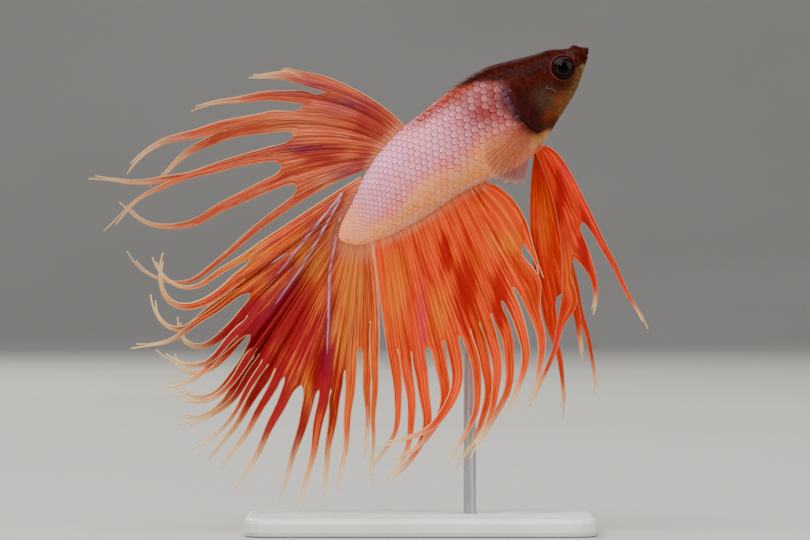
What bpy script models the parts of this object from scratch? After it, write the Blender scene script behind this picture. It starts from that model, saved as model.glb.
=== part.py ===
"""A crowntail betta, life size, swimming head-up on a plain display stand.

Shapes are worked out in millimetres and become metres as each mesh is made. +Z is up, +X is where
the fish heads, and the fish's middle plane is Y = 0, with its right side towards -Y. The origin is
the centre of the base's underside.

The body has a frame of its own: t runs along it from the tail root to the snout, d up to the back,
and y across. Each fin is a fan of rays: a ray leaves its root at a heading, bends, and its tip
curls. Headings are degrees anticlockwise from +X, seen with the fish's right side in view.
"""
import math
from collections import namedtuple

import bmesh
import bpy
from mathutils import Vector

MM = 0.001
GAP = 0.3                     # between parts that touch

# ---- the body --------------------------------------------------------------------------------
PITCH = math.radians(38.0)    # how far the head is up
TAIL_ROOT = (-13.2, 48.0)     # X and Z of the tail root, t = 0 and d = 0
BODY_SIDES = 20               # points round a section

Station = namedtuple("Station", "t back belly half")
STATIONS = (
    Station(-0.4, -0.75, -0.95, 0.15),
    Station(0.0, 0.3, -1.95, 0.55),
    Station(1.6, 1.35, -3.6, 0.9),
    Station(4.4, 2.7, -4.75, 1.3),
    Station(8.4, 4.5, -5.8, 1.85),
    Station(12.9, 6.2, -6.5, 2.5),
    Station(19.0, 7.1, -6.95, 3.2),
    Station(24.3, 7.2, -8.0, 3.75),
    Station(29.5, 7.3, -9.3, 4.15),
    Station(32.2, 7.1, -9.45, 4.3),
    Station(35.1, 6.6, -8.8, 4.3),
    Station(38.6, 5.2, -7.7, 4.0),
    Station(42.5, 3.5, -6.3, 3.4),
    Station(45.1, 2.5, -5.1, 2.85),
    Station(47.4, 1.0, -3.6, 2.2),
    Station(48.6, 0.75, -2.75, 1.85),
    Station(49.4, -0.3, -1.95, 1.5),
    Station(50.2, -1.0, -1.3, 0.9),
)
STEM_END = 8.0                # where the tail stem meets the trunk
NAPE = 36.2                   # where the trunk meets the head
SNOUT_TIP = 50.2

EYE_AT = (45.0, -1.2)         # t and d of the pupil
EYE_RADIUS = 1.85
EYE_DEPTH = 1.25              # half the eyeball's thickness, across the head
EYE_PROUD = 0.4               # how far the eye stands out of the cheek

GILL_FRONT = 40.9             # t of the gill cover's front edge
GILL_REAR = 36.1              # t of the rear edge's upper end
GILL_SWEEP = 1.5              # how far the rear edge bows back
GILL_ANGLES = (0.30 * math.pi, 0.83 * math.pi)
GILL_THICK = 0.7
ROOM_LIFT = 0.6               # how far the gill cover's cutter starts outside the body

JAW_WEDGE = ((48.75, -2.55), (46.4, -2.45), (42.6, -5.5), (42.6, -9.0), (50.5, -9.0))
MOUTH_AT = (49.5, -2.2)       # centre of the mouth's opening
MOUTH_SIZE = (1.2, 0.95, 0.6)

# ---- the fins --------------------------------------------------------------------------------
FIN_THICK = 0.5
STRAND_HALF = 0.7             # half width of a free strand where it leaves the web
TIP_HALF = 0.28               # half width of a strand's tip
EDGE_HALF = 0.28              # membrane ahead of the first ray and behind the last
FLARE_FADE = 12.0             # how fast the web's edge narrows to the strand
RAY_ROWS = 18
RAY_STEPS = 72                # steps of the walk along a ray

# A ray's root is a place on the body's outline, bend and curl are turns in degrees, length is in
# millimetres, lean is how far the tip stands to +Y, and web is how far up the ray the membrane
# reaches to the next one. The curl starts at curl_from of the length, and haste is how early the
# bend is done.
Ray = namedtuple("Ray", "root launch bend curl length lean web curl_from haste",
                 defaults=(0.62, 2.5))

DORSAL_RAYS = (
    Ray(19.4, 135, 39, 205, 24.4, 1.2, 0.74, 0.84, 1.2),
    Ray(18.7, 136, 46, 0, 26.4, -1.0, 0.42, 0.60, 1.2),
    Ray(17.6, 140, 51, 2, 34.4, 1.4, 0.37, 0.62, 1.8),
    Ray(16.0, 149, 48, 40, 45.2, -1.3, 0.60, 0.78),
    Ray(15.3, 150, 48, 30, 41.2, 1.3, 0.31, 0.55),
    Ray(14.1, 170, 32, -30, 47.6, 0.2, 0.68, 0.50),
    Ray(13.6, 170, 30, 30, 47.4, -1.8, 0.34, 0.64),
    Ray(12.2, 183, 28, -76, 44.0, 1.9, 0.29, 0.62),
    Ray(10.7, 199, 25, -100, 46.2, 2.6, 0.0, 0.60),
)
CAUDAL_RAYS = (
    Ray(9.0, 212, 2, -106, 40.8, -1.0, 0.51, 0.70),
    Ray(6.6, 217, 0, -148, 43.8, -2.6, 0.49, 0.61),
    Ray(4.8, 218, 0, -128, 41.8, 1.6, 0.52, 0.71),
    Ray(3.7, 217, 0, -36, 41.4, -1.0, 0.52, 0.74),
    Ray(2.8, 225, 0, -132, 38.0, 2.2, 0.54, 0.70),
    Ray(2.1, 228, 0, -95, 40.0, -2.2, 0.56, 0.68),
    Ray(1.5, 229, 0, -106, 38.4, 1.8, 0.56, 0.74),
    Ray(1.0, 227, 0, -46, 39.0, -2.0, 0.56, 0.76),
    Ray(0.65, 235, 0, -92, 40.2, 2.2, 0.56, 0.70),
    Ray(0.4, 235, 0, -88, 39.8, -1.8, 0.56, 0.72),
    Ray(0.2, 236, 0, -70, 40.2, 2.4, 0.56, 0.76),
    Ray(0.1, 237, 0, -46, 40.8, 0.6, 0.57, 0.66),
    Ray(0.0, 239, 0, -44, 41.2, -1.6, 0.57, 0.78),
    Ray(-0.2, 240, 0, -8, 40.8, 1.4, 0.57),
    Ray(-0.3, 243, 0, -10, 41.2, 0.0, 0.54),
    Ray(-0.5, 251, -6, -4, 42.8, -2.0, 0.57),
    Ray(-0.8, 257, -3, -8, 42.2, 1.8, 0.57, 0.76),
    Ray(-1.2, 259, 0, -10, 42.8, -1.4, 0.54, 0.76),
    Ray(-1.6, 262, 0, 2, 40.4, 1.4, 0.49),
    Ray(-2.0, 266, 0, -6, 39.2, -1.2, 0.45, 0.70),
    Ray(-2.5, 274, -4, -2, 34.0, 0.8, 0.34, 0.70),
    Ray(-3.0, 279, -11, 0, 38.6, -1.0, 0.0),
)
ANAL_RAYS = (
    Ray(-4.9, 277, 0, -50, 38.6, 0.8, 0.44, 0.58),
    Ray(-6.3, 280, -3, -42, 40.6, -0.8, 0.44, 0.60),
    Ray(-7.9, 281, -2, -72, 43.6, 0.9, 0.44, 0.58),
    Ray(-9.6, 285, -1, -76, 41.5, -0.8, 0.44, 0.50),
    Ray(-11.4, 287, 0, -98, 43.8, -3.2, 0.42, 0.40),
    Ray(-13.1, 290, 0, -62, 43.2, -1.9, 0.42, 0.44),
    Ray(-14.8, 289, 0, -56, 43.6, 0.3, 0.42, 0.46),
    Ray(-16.4, 291, 0, -52, 42.6, -2.2, 0.42, 0.40),
    Ray(-18.0, 293, 0, -62, 42.2, -0.3, 0.42, 0.42),
    Ray(-19.6, 296, 0, -60, 38.8, -2.3, 0.42, 0.46),
    Ray(-21.4, 299, 0, -50, 37.6, -0.6, 0.46, 0.44),
    Ray(-24.4, 344, -62, 0, 18.5, -0.2, 0.0),
)
# the rays of a pelvic fin leave one place, so a root here is how far ahead of it a ray starts
PELVIC_RAYS = {
    "right": (
        Ray(-1.1, 295, -54, 0, 42.7, -3.6, 0.55, 0.62, 1.0),
        Ray(-0.5, 293, 0, -40, 28.5, -2.0, 0.42, 0.70),
        Ray(0.0, 350, -54, 0, 34.4, -3.0, 0.0, 0.62, 14.0),
    ),
    "left": (
        Ray(-1.1, 261, 35, -32, 43.8, 3.0, 0.60, 0.70, 1.2),
        Ray(-0.5, 283, 0, -6, 35.2, 2.2, 0.45),
        Ray(0.0, 287, -4, -14, 41.2, 3.2, 0.0, 0.80, 5.0),
    ),
}
PELVIC_ROOT = (34.6, -8.75)   # t and d of the foremost ray's root
PELVIC_SIDE = 1.25            # how far a pelvic fin's root is from the middle plane
PECTORAL_ROOTS = ((34.25, -4.3), (34.35, -6.4))
PECTORAL_HEADINGS = (202.0, 262.0)
PECTORAL_LENGTHS = (7.6, 10.4, 8.6)     # upper, middle and lower rays
PECTORAL_SPREAD = math.radians(20.0)    # how far the fin stands off the flank
PECTORAL_RAYS = 9
PECTORAL_ROWS = 5

# ---- the stand -------------------------------------------------------------------------------
BASE_SIZE = (56.0, 40.0, 3.0)
BASE_ROUND = 0.8
ROD_AT = (8.05, 2.6)          # beside the anal fin
ROD_RADIUS = 1.0
ROD_FIT = 0.3                 # clearance round the rod in its sockets
BASE_SOCKET = 2.0             # depth of the socket in the base
BODY_SOCKET = 2.2             # depth of the socket in the trunk


def smooth_curve(xs, ys):
    """A curve through the points with no overshoot, as a function of x."""
    rises = [(ys[i + 1] - ys[i]) / (xs[i + 1] - xs[i]) for i in range(len(xs) - 1)]
    slopes = [rises[0]]
    for before, after in zip(rises, rises[1:]):
        slopes.append(0.0 if before * after <= 0 else 2.0 * before * after / (before + after))
    slopes.append(rises[-1])

    def value(x):
        x = min(max(x, xs[0]), xs[-1])
        i = max(j for j in range(len(xs) - 1) if xs[j] <= x)
        width = xs[i + 1] - xs[i]
        u = (x - xs[i]) / width
        ends = (1 + 2 * u) * (1 - u) ** 2 * ys[i] + u * u * (3 - 2 * u) * ys[i + 1]
        turns = u * (1 - u) ** 2 * slopes[i] - u * u * (1 - u) * slopes[i + 1]
        return ends + width * turns

    return value


ALONG = [station.t for station in STATIONS]
back = smooth_curve(ALONG, [station.back for station in STATIONS])
belly = smooth_curve(ALONG, [station.belly for station in STATIONS])
half_width = smooth_curve(ALONG, [station.half for station in STATIONS])


def to_world(t, y, d):
    """A place in the body's frame as X, Y, Z in millimetres."""
    x = TAIL_ROOT[0] + t * math.cos(PITCH) - d * math.sin(PITCH)
    z = TAIL_ROOT[1] + t * math.sin(PITCH) + d * math.cos(PITCH)
    return Vector((x, y, z))


def to_body(x, z):
    """t and d of a place in the middle plane."""
    dx, dz = x - TAIL_ROOT[0], z - TAIL_ROOT[1]
    return (dx * math.cos(PITCH) + dz * math.sin(PITCH),
            dz * math.cos(PITCH) - dx * math.sin(PITCH))


def fullness(t):
    """Exponent of the section's sides: the trunk's are a little pinched, the head's are full."""
    return 1.12 - 0.27 * ease((t - NAPE) / 8.0)


def ease(u):
    """A smooth step from 0 to 1."""
    u = min(max(u, 0.0), 1.0)
    return u * u * (3 - 2 * u)


def body_point(t, angle, inset=0.0):
    """A point of the body's surface; angle 0 is the back, pi the belly, and over pi the +Y side."""
    top, bottom = back(t) - inset, belly(t) + inset
    side = -1.0 if angle <= math.pi else 1.0
    y = side * (half_width(t) - inset) * abs(math.sin(angle)) ** fullness(t)
    return to_world(t, y, 0.5 * (top + bottom) + 0.5 * (top - bottom) * math.cos(angle))


def surface_y(t, d):
    """Half the body's width at t and d."""
    top, bottom = back(t), belly(t)
    across = min(max((2 * d - top - bottom) / (top - bottom), -1.0), 1.0)
    return half_width(t) * math.sin(math.acos(across)) ** fullness(t)


def outline_point(v, off=0.0):
    """A place on the outline: the back at t = v, round the tail root, and the belly at t = -v."""
    def bare(w):
        t = abs(w) + STATIONS[0].t
        return Vector((t, back(t) if w >= 0 else belly(t)))
    along = bare(v + 0.05) - bare(v - 0.05)
    outward = Vector((-along.y, along.x)).normalized()
    t, d = bare(v) + outward * off
    return to_world(t, 0.0, d)


# ---- making objects --------------------------------------------------------------------------

def make_collection(name):
    collection = bpy.data.collections.new(name)
    bpy.context.scene.collection.children.link(collection)
    return collection


def make_material(name, color, roughness, metallic=0.0):
    material = bpy.data.materials.new(name)
    material.use_nodes = True
    shader = material.node_tree.nodes["Principled BSDF"]
    shader.inputs["Base Color"].default_value = (*color, 1.0)
    shader.inputs["Roughness"].default_value = roughness
    shader.inputs["Metallic"].default_value = metallic
    material.diffuse_color = (*color, 1.0)
    return material


def make_object(name, points, faces, collection, material=None):
    """A mesh object from points in millimetres."""
    mesh = bpy.data.meshes.new(name)
    mesh.from_pydata([tuple(point * MM for point in vertex) for vertex in points], [], faces)
    shape = bmesh.new()
    shape.from_mesh(mesh)
    bmesh.ops.recalc_face_normals(shape, faces=shape.faces)
    shape.to_mesh(mesh)
    shape.free()
    mesh.shade_smooth()
    mesh.set_sharp_from_angle(angle=math.radians(40))
    if material:
        mesh.materials.append(material)
    item = bpy.data.objects.new(name, mesh)
    collection.objects.link(item)
    return item


def make_cutter(name, points, faces, cutters):
    return hide_cutter(make_object(name, points, faces, cutters))


def hide_cutter(item):
    item.hide_render = True
    item.display_type = "WIRE"
    return item


def cut(item, cutter, operation="DIFFERENCE"):
    modifier = item.modifiers.new(cutter.name, "BOOLEAN")
    modifier.operation = operation
    modifier.solver = "EXACT"
    modifier.object = cutter


def thicken(item, thickness, offset=0.0):
    modifier = item.modifiers.new("Thickness", "SOLIDIFY")
    modifier.thickness = thickness * MM
    modifier.offset = offset


def primitive(name, collection, material, build):
    """An object from one of Blender's own shapes, made by build on a new bmesh."""
    mesh = bpy.data.meshes.new(name)
    shape = bmesh.new()
    build(shape)
    shape.to_mesh(mesh)
    shape.free()
    mesh.shade_smooth()
    mesh.set_sharp_from_angle(angle=math.radians(40))
    if material:
        mesh.materials.append(material)
    item = bpy.data.objects.new(name, mesh)
    collection.objects.link(item)
    return item


# ---- the body's pieces -----------------------------------------------------------------------

def stations_between(start, end):
    """The section places from start to end, close together where the outline turns."""
    inner = [t for t in ALONG if start + 0.4 < t < end - 0.4]
    places = [start]
    for t in inner + [end]:
        if t - places[-1] > 3.0:
            places.append(0.5 * (places[-1] + t))
        places.append(t)
    return places


def loft(name, places, collection, material):
    """A closed piece of the body with a section at each place."""
    points, faces = [], []
    for t in places:
        for side in range(BODY_SIDES):
            points.append(body_point(t, 2 * math.pi * side / BODY_SIDES))
    for row in range(len(places) - 1):
        for side in range(BODY_SIDES):
            near, far = row * BODY_SIDES, (row + 1) * BODY_SIDES
            turn = (side + 1) % BODY_SIDES
            faces.append((near + side, near + turn, far + turn, far + side))
    faces.append(tuple(range(BODY_SIDES)))
    faces.append(tuple((len(places) - 1) * BODY_SIDES + side for side in range(BODY_SIDES)))
    return make_object(name, points, faces, collection, material)


def gill_patch(sign, margin, lift):
    """The gill cover's sheet, lifted off the body and grown by margin on every edge."""
    columns, rows = 6, 9
    points, faces = [], []
    spread = margin / 6.0
    top, bottom = GILL_ANGLES[0] - spread, GILL_ANGLES[1] + spread
    for row in range(rows + 1):
        v = row / rows
        angle = top + (bottom - top) * v
        rear = GILL_REAR - GILL_SWEEP * math.sin(math.pi * v) ** 0.8 - margin
        front = GILL_FRONT + 0.4 * v + margin
        for column in range(columns + 1):
            t = rear + (front - rear) * column / columns
            point = body_point(t, angle, -lift)
            points.append((point.x, -sign * point.y, point.z))
    for row in range(rows):
        for column in range(columns):
            corner = row * (columns + 1) + column
            faces.append((corner, corner + 1, corner + columns + 2, corner + columns + 1))
    return points, faces


def prism(outline, half):
    """A wedge right across the body, from an outline in t and d."""
    points = [to_world(t, side * half, d) for side in (-1, 1) for t, d in outline]
    count = len(outline)
    faces = [tuple(range(count)), tuple(range(count, 2 * count))]
    for i in range(count):
        j = (i + 1) % count
        faces.append((i, j, count + j, count + i))
    return points, faces


def grown(outline, margin):
    """The outline with each edge moved out by margin, whichever way round it is given."""
    count = len(outline)
    area = sum(outline[i][0] * outline[(i + 1) % count][1] - outline[(i + 1) % count][0]
               * outline[i][1] for i in range(count))
    turn = 1.0 if area > 0 else -1.0
    moved = []
    for i in range(count):
        before = (Vector(outline[i]) - Vector(outline[i - 1])).normalized()
        after = (Vector(outline[(i + 1) % count]) - Vector(outline[i])).normalized()
        out_before = Vector((before.y, -before.x)) * turn
        out_after = Vector((after.y, -after.x)) * turn
        middle = (out_before + out_after).normalized()
        moved.append(Vector(outline[i]) + middle * (margin / middle.dot(out_after)))
    return [tuple(point) for point in moved]


def ellipsoid(center, sizes, turn):
    """A build function for an ellipsoid that leans with the body by turn."""
    def build(shape):
        made = bmesh.ops.create_uvsphere(shape, u_segments=16, v_segments=10, radius=1.0)
        for vertex in made["verts"]:
            along, across, up = vertex.co
            x = along * sizes[0] * math.cos(turn) - up * sizes[2] * math.sin(turn)
            z = along * sizes[0] * math.sin(turn) + up * sizes[2] * math.cos(turn)
            vertex.co = (Vector(center) + Vector((x, across * sizes[1], z))) * MM
    return build


def make_eyes(parts, cutters, head, material):
    t, d = EYE_AT
    for side, sign in (("right", -1), ("left", 1)):
        across = sign * (surface_y(t, d) + EYE_PROUD - EYE_DEPTH)
        center = to_world(t, across, d)
        ball = ellipsoid(center, (EYE_RADIUS, EYE_DEPTH, EYE_RADIUS), 0.0)
        primitive("eye_" + side, parts, material, ball)
        room = (EYE_RADIUS + GAP, EYE_DEPTH + GAP, EYE_RADIUS + GAP)
        socket = primitive("socket_" + side, cutters, None, ellipsoid(center, room, 0.0))
        cut(head, hide_cutter(socket))


def make_body(parts, cutters, materials):
    loft("tail_stem", stations_between(STATIONS[0].t + 0.05, STEM_END - GAP / 2), parts,
         materials["flank"])
    trunk = loft("trunk", stations_between(STEM_END + GAP / 2, NAPE - GAP / 2), parts,
                 materials["flank"])
    head = loft("head", stations_between(NAPE + GAP / 2, SNOUT_TIP), parts, materials["head"])
    jaw = loft("lower_jaw", stations_between(NAPE + GAP / 2, SNOUT_TIP), parts, materials["jaw"])

    jaw_room = make_cutter("jaw_room", *prism(grown(JAW_WEDGE, GAP), 8.0), cutters)
    jaw_wedge = make_cutter("jaw_wedge", *prism(JAW_WEDGE, 7.0), cutters)
    cut(head, jaw_room)
    cut(jaw, jaw_wedge, "INTERSECT")
    mouth = ellipsoid(to_world(MOUTH_AT[0], 0.0, MOUTH_AT[1]), MOUTH_SIZE, PITCH - 0.8)
    cut(head, hide_cutter(primitive("mouth_hollow", cutters, None, mouth)))

    for side, sign in (("right", -1), ("left", 1)):
        cover = make_object("gill_cover_" + side, *gill_patch(sign, 0.0, 0.0), parts,
                            materials["head"])
        thicken(cover, GILL_THICK, -1.0 if faces_out(cover, sign) else 1.0)
        room = make_cutter("gill_room_" + side, *gill_patch(sign, GAP, ROOM_LIFT), cutters)
        thicken(room, ROOM_LIFT + GILL_THICK + GAP, -1.0 if faces_out(room, sign) else 1.0)
        cut(head, room)
        cut(trunk, room)
    make_eyes(parts, cutters, head, materials["eye"])
    return trunk


def faces_out(item, sign):
    """Whether the sheet's faces look away from the middle plane."""
    return sum(face.normal.y * face.area for face in item.data.polygons) * sign > 0


# ---- the fins --------------------------------------------------------------------------------

def ray_heading(ray, s):
    """The ray's heading in radians at s of its length."""
    bend = ray.bend * (1 - (1 - s) ** ray.haste)
    curl = ray.curl * ease((s - ray.curl_from) / (1 - ray.curl_from))
    return math.radians(ray.launch + bend + curl)


def ray_line(ray, root, rows):
    """The ray's middle line: rows + 1 pairs of a place and the in-plane direction across it."""
    place, line = Vector(root), []
    for step in range(RAY_STEPS + 1):
        s = step / RAY_STEPS
        heading = ray_heading(ray, s)
        if step % (RAY_STEPS // rows) == 0:
            lean = ray.lean * s ** 1.6
            across = Vector((math.sin(heading), 0.0, -math.cos(heading)))
            line.append((place + Vector((0.0, lean, 0.0)), across))
        stride = ray.length / RAY_STEPS
        place = place + Vector((math.cos(heading), 0.0, math.sin(heading))) * stride
    return line


def make_fin(name, rays, root_of, parts, material):
    """A fin: a strip for each ray, joined to its neighbours up to the web's edge and free beyond.

    root_of(v) is the place of a root. The rays are given in order, so that the next one is on the
    left of a ray for someone who looks along it with the fish's right side in view.
    """
    points, faces, places = [], [], {}
    lines = [ray_line(ray, root_of(ray.root), RAY_ROWS) for ray in rays]

    def put(key, point):
        if key not in places:
            places[key] = len(points)
            points.append(point)
        return places[key]

    def edge(i, side, row):
        """The strip's edge towards the next ray (side 1) or the one before (side -1)."""
        place, across = lines[i][row]
        other = i + side
        toward = lines[min(max(other, 0), len(rays) - 1)]
        web = rays[min(i, other)].web if 0 <= other < len(rays) else 0.0
        last = int(round(web * RAY_ROWS))
        if row <= last and 0 <= other < len(rays):
            if row == 0:
                middle = Vector(root_of(0.5 * (rays[i].root + rays[other].root)))
            else:
                middle = 0.5 * (place + toward[row][0])
            return put((min(i, other), row), middle)
        q = (row - last) / (RAY_ROWS - last)
        if 0 <= other < len(rays):
            apart = 0.5 * (toward[last][0] - lines[i][last][0]).length
            flare = (apart - STRAND_HALF) * math.exp(-FLARE_FADE * q)
            half = TIP_HALF + (STRAND_HALF - TIP_HALF) * (1 - q) + flare
        else:
            half = EDGE_HALF
        return put((i, side, row), place - across * (side * half))

    for i in range(len(rays)):
        for row in range(RAY_ROWS):
            faces.append((edge(i, -1, row), edge(i, -1, row + 1),
                          edge(i, 1, row + 1), edge(i, 1, row)))
    item = make_object(name, points, faces, parts, material)
    thicken(item, FIN_THICK)
    return item


def pelvic_root(sign):
    def root(v):
        t, d = PELVIC_ROOT
        return to_world(t + v, sign * PELVIC_SIDE, d - GAP)
    return root


def make_pectoral(side, sign, parts, material):
    """A small fan that stands off the flank behind the gill cover."""
    length_at = smooth_curve((0.0, 0.5, 1.0), PECTORAL_LENGTHS)
    points, faces = [], []
    for i in range(PECTORAL_RAYS):
        f = i / (PECTORAL_RAYS - 1)
        t = PECTORAL_ROOTS[0][0] + (PECTORAL_ROOTS[1][0] - PECTORAL_ROOTS[0][0]) * f
        d = PECTORAL_ROOTS[0][1] + (PECTORAL_ROOTS[1][1] - PECTORAL_ROOTS[0][1]) * f
        root = to_world(t, sign * (surface_y(t, d) + GAP + FIN_THICK / 2), d)
        heading = math.radians(PECTORAL_HEADINGS[0]
                               + (PECTORAL_HEADINGS[1] - PECTORAL_HEADINGS[0]) * f)
        flat = math.cos(PECTORAL_SPREAD)
        way = Vector((math.cos(heading) * flat, sign * math.sin(PECTORAL_SPREAD),
                      math.sin(heading) * flat))
        for row in range(PECTORAL_ROWS + 1):
            points.append(root + way * (length_at(f) * row / PECTORAL_ROWS))
    for i in range(PECTORAL_RAYS - 1):
        for row in range(PECTORAL_ROWS):
            corner = i * (PECTORAL_ROWS + 1) + row
            faces.append((corner, corner + 1, corner + PECTORAL_ROWS + 2,
                          corner + PECTORAL_ROWS + 1))
    item = make_object("pectoral_fin_" + side, points, faces, parts, material)
    thicken(item, FIN_THICK)


def make_fins(parts, materials):
    def root(v):
        return outline_point(v, GAP)
    make_fin("dorsal_fin", DORSAL_RAYS, root, parts, materials["dorsal"])
    make_fin("caudal_fin", CAUDAL_RAYS, root, parts, materials["caudal"])
    make_fin("anal_fin", ANAL_RAYS, root, parts, materials["anal"])
    for side, sign in (("right", -1), ("left", 1)):
        make_fin("pelvic_fin_" + side, PELVIC_RAYS[side], pelvic_root(sign), parts,
                 materials["pelvic"])
        make_pectoral(side, sign, parts, materials["pectoral"])


# ---- the stand -------------------------------------------------------------------------------

def underside(x, y):
    """Z of the trunk's underside straight above x, y."""
    z = TAIL_ROOT[1] - 10.0
    while True:
        t, d = to_body(x, z)
        if STATIONS[0].t < t < SNOUT_TIP and belly(t) < d < back(t) and surface_y(t, d) > abs(y):
            return z
        z += 0.05


def cylinder(radius, low, high):
    """A build function for an upright cylinder at the rod's place."""
    def build(shape):
        made = bmesh.ops.create_cone(shape, cap_ends=True, segments=24, radius1=radius * MM,
                                     radius2=radius * MM, depth=(high - low) * MM)
        middle = Vector((ROD_AT[0], ROD_AT[1], 0.5 * (low + high))) * MM
        bmesh.ops.translate(shape, verts=made["verts"], vec=middle)
    return build


def make_stand(parts, cutters, trunk, materials):
    width, depth, height = BASE_SIZE

    def slab(shape):
        made = bmesh.ops.create_cube(shape, size=1.0)
        bmesh.ops.scale(shape, verts=made["verts"], vec=Vector(BASE_SIZE) * MM)
        bmesh.ops.translate(shape, verts=made["verts"], vec=Vector((0, 0, height / 2)) * MM)
        upright = [edge for edge in shape.edges
                   if abs(edge.verts[0].co.z - edge.verts[1].co.z) > height * MM / 2]
        bmesh.ops.bevel(shape, geom=upright, offset=4.0 * MM, segments=4, profile=0.5,
                        affect="EDGES")
    base = primitive("stand_base", parts, materials["base"], slab)
    rounding = base.modifiers.new("Rounding", "BEVEL")
    rounding.width = BASE_ROUND * MM
    rounding.segments = 2
    rounding.limit_method = "ANGLE"

    low = height - BASE_SOCKET
    high = underside(*ROD_AT) + BODY_SOCKET
    primitive("stand_rod", parts, materials["rod"],
              cylinder(ROD_RADIUS, low + ROD_FIT, high - ROD_FIT))
    socket = primitive("base_socket", cutters, None,
                       cylinder(ROD_RADIUS + ROD_FIT, low, height + 2.0))
    cut(base, hide_cutter(socket))
    socket = primitive("body_socket", cutters, None,
                       cylinder(ROD_RADIUS + ROD_FIT, high - BODY_SOCKET - 5.0, high))
    cut(trunk, hide_cutter(socket))


def make_materials():
    return {
        "head": make_material("head_skin", (0.10, 0.022, 0.012), 0.42),
        "jaw": make_material("jaw_skin", (0.42, 0.25, 0.13), 0.4),
        "flank": make_material("flank_scales", (0.50, 0.22, 0.22), 0.35),
        "eye": make_material("eye_black", (0.006, 0.004, 0.004), 0.08),
        "dorsal": make_material("dorsal_web", (0.50, 0.11, 0.06), 0.45),
        "caudal": make_material("caudal_web", (0.48, 0.06, 0.018), 0.45),
        "anal": make_material("anal_web", (0.62, 0.10, 0.015), 0.45),
        "pelvic": make_material("pelvic_web", (0.60, 0.05, 0.012), 0.45),
        "pectoral": make_material("pectoral_web", (0.40, 0.14, 0.10), 0.45),
        "base": make_material("base_acrylic", (0.78, 0.77, 0.74), 0.35),
        "rod": make_material("rod_steel", (0.62, 0.62, 0.62), 0.3, 1.0),
    }


def main():
    for item in list(bpy.data.objects):
        bpy.data.objects.remove(item, do_unlink=True)
    parts = make_collection("betta_fish")
    cutters = make_collection("cutters")
    materials = make_materials()
    trunk = make_body(parts, cutters, materials)
    make_fins(parts, materials)
    make_stand(parts, cutters, trunk, materials)


main()
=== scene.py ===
"""Looks of the crowntail betta on its display stand.

The body, eyes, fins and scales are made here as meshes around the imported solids, with materials
worked out by nodes. Sizes are in millimetres until a mesh is made. +Z is up, the fish heads
towards +X, and its right side is towards -Y.

The body has a frame of its own: t runs along it from the tail root to the snout, d up to the back,
and y across. Each fin is a fan of rays, and a ray's headings are degrees anticlockwise from +X.
"""

import math
from collections import namedtuple

import bpy
import numpy as np
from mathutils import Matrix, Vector


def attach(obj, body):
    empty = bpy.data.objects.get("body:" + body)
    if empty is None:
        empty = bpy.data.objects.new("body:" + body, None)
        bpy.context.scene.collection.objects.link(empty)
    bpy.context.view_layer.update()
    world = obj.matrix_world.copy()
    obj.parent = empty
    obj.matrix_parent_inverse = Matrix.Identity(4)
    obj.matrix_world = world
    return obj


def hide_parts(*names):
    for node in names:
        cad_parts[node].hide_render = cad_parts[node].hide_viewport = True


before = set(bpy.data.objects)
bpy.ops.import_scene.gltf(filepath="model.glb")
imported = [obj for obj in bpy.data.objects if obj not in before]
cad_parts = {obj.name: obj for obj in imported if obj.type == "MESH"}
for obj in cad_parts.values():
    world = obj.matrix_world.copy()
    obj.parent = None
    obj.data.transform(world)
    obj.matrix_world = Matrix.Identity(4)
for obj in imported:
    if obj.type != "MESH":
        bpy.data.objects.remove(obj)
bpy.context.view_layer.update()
MM = 0.001
SIDES = (("right", -1), ("left", 1))     # names, and the way each lies along Y

# ---- the body's form, as in the solids ----
PITCH = math.radians(38.0)
TAIL_ROOT = (-13.2, 48.0)     # X and Z of t = 0, d = 0
# the sections: t, d of the back and of the belly, and half the width
STATIONS = (
    (-0.4, -0.75, -0.95, 0.15), (0.0, 0.3, -1.95, 0.55), (1.6, 1.35, -3.6, 0.9),
    (4.4, 2.7, -4.75, 1.3), (8.4, 4.5, -5.8, 1.85), (12.9, 6.2, -6.5, 2.5),
    (19.0, 7.1, -6.95, 3.2), (24.3, 7.2, -8.0, 3.75), (29.5, 7.3, -9.3, 4.15),
    (32.2, 7.1, -9.45, 4.3), (35.1, 6.6, -8.8, 4.3), (38.6, 5.2, -7.7, 4.0),
    (42.5, 3.5, -6.3, 3.4), (45.1, 2.5, -5.1, 2.85), (47.4, 1.0, -3.6, 2.2),
    (48.6, 0.75, -2.75, 1.85), (49.4, -0.3, -1.95, 1.5), (50.2, -1.0, -1.3, 0.9),
)
TAIL_END = STATIONS[0][0]
NAPE = 36.2                   # where the trunk meets the head
SNOUT_TIP = 50.2
EYE_AT = (45.0, -1.2)         # t and d of the pupil
GILL_REAR = 36.1              # t of the gill cover's rear edge, at its upper end
GILL_SWEEP = 1.5              # how far that edge bows back
GILL_ANGLES = (0.30 * math.pi, 0.83 * math.pi)

# ---- the fins, as in the solids ----
GAP = 0.3                     # between the body and a fin's root
RAY_ROWS = 18                 # rows of the solids' fins, on which the membrane ends
# a ray's root, first heading, bend and curl in degrees, length, lean to a side, the share of it
# that the web to the next ray reaches, where its curl starts, and how early it bends
Ray = namedtuple("Ray", "root launch bend curl length lean web curl_from haste",
                 defaults=(0.62, 2.5))


def ray_table(*rows):
    return tuple(Ray(*row) for row in rows)


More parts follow.
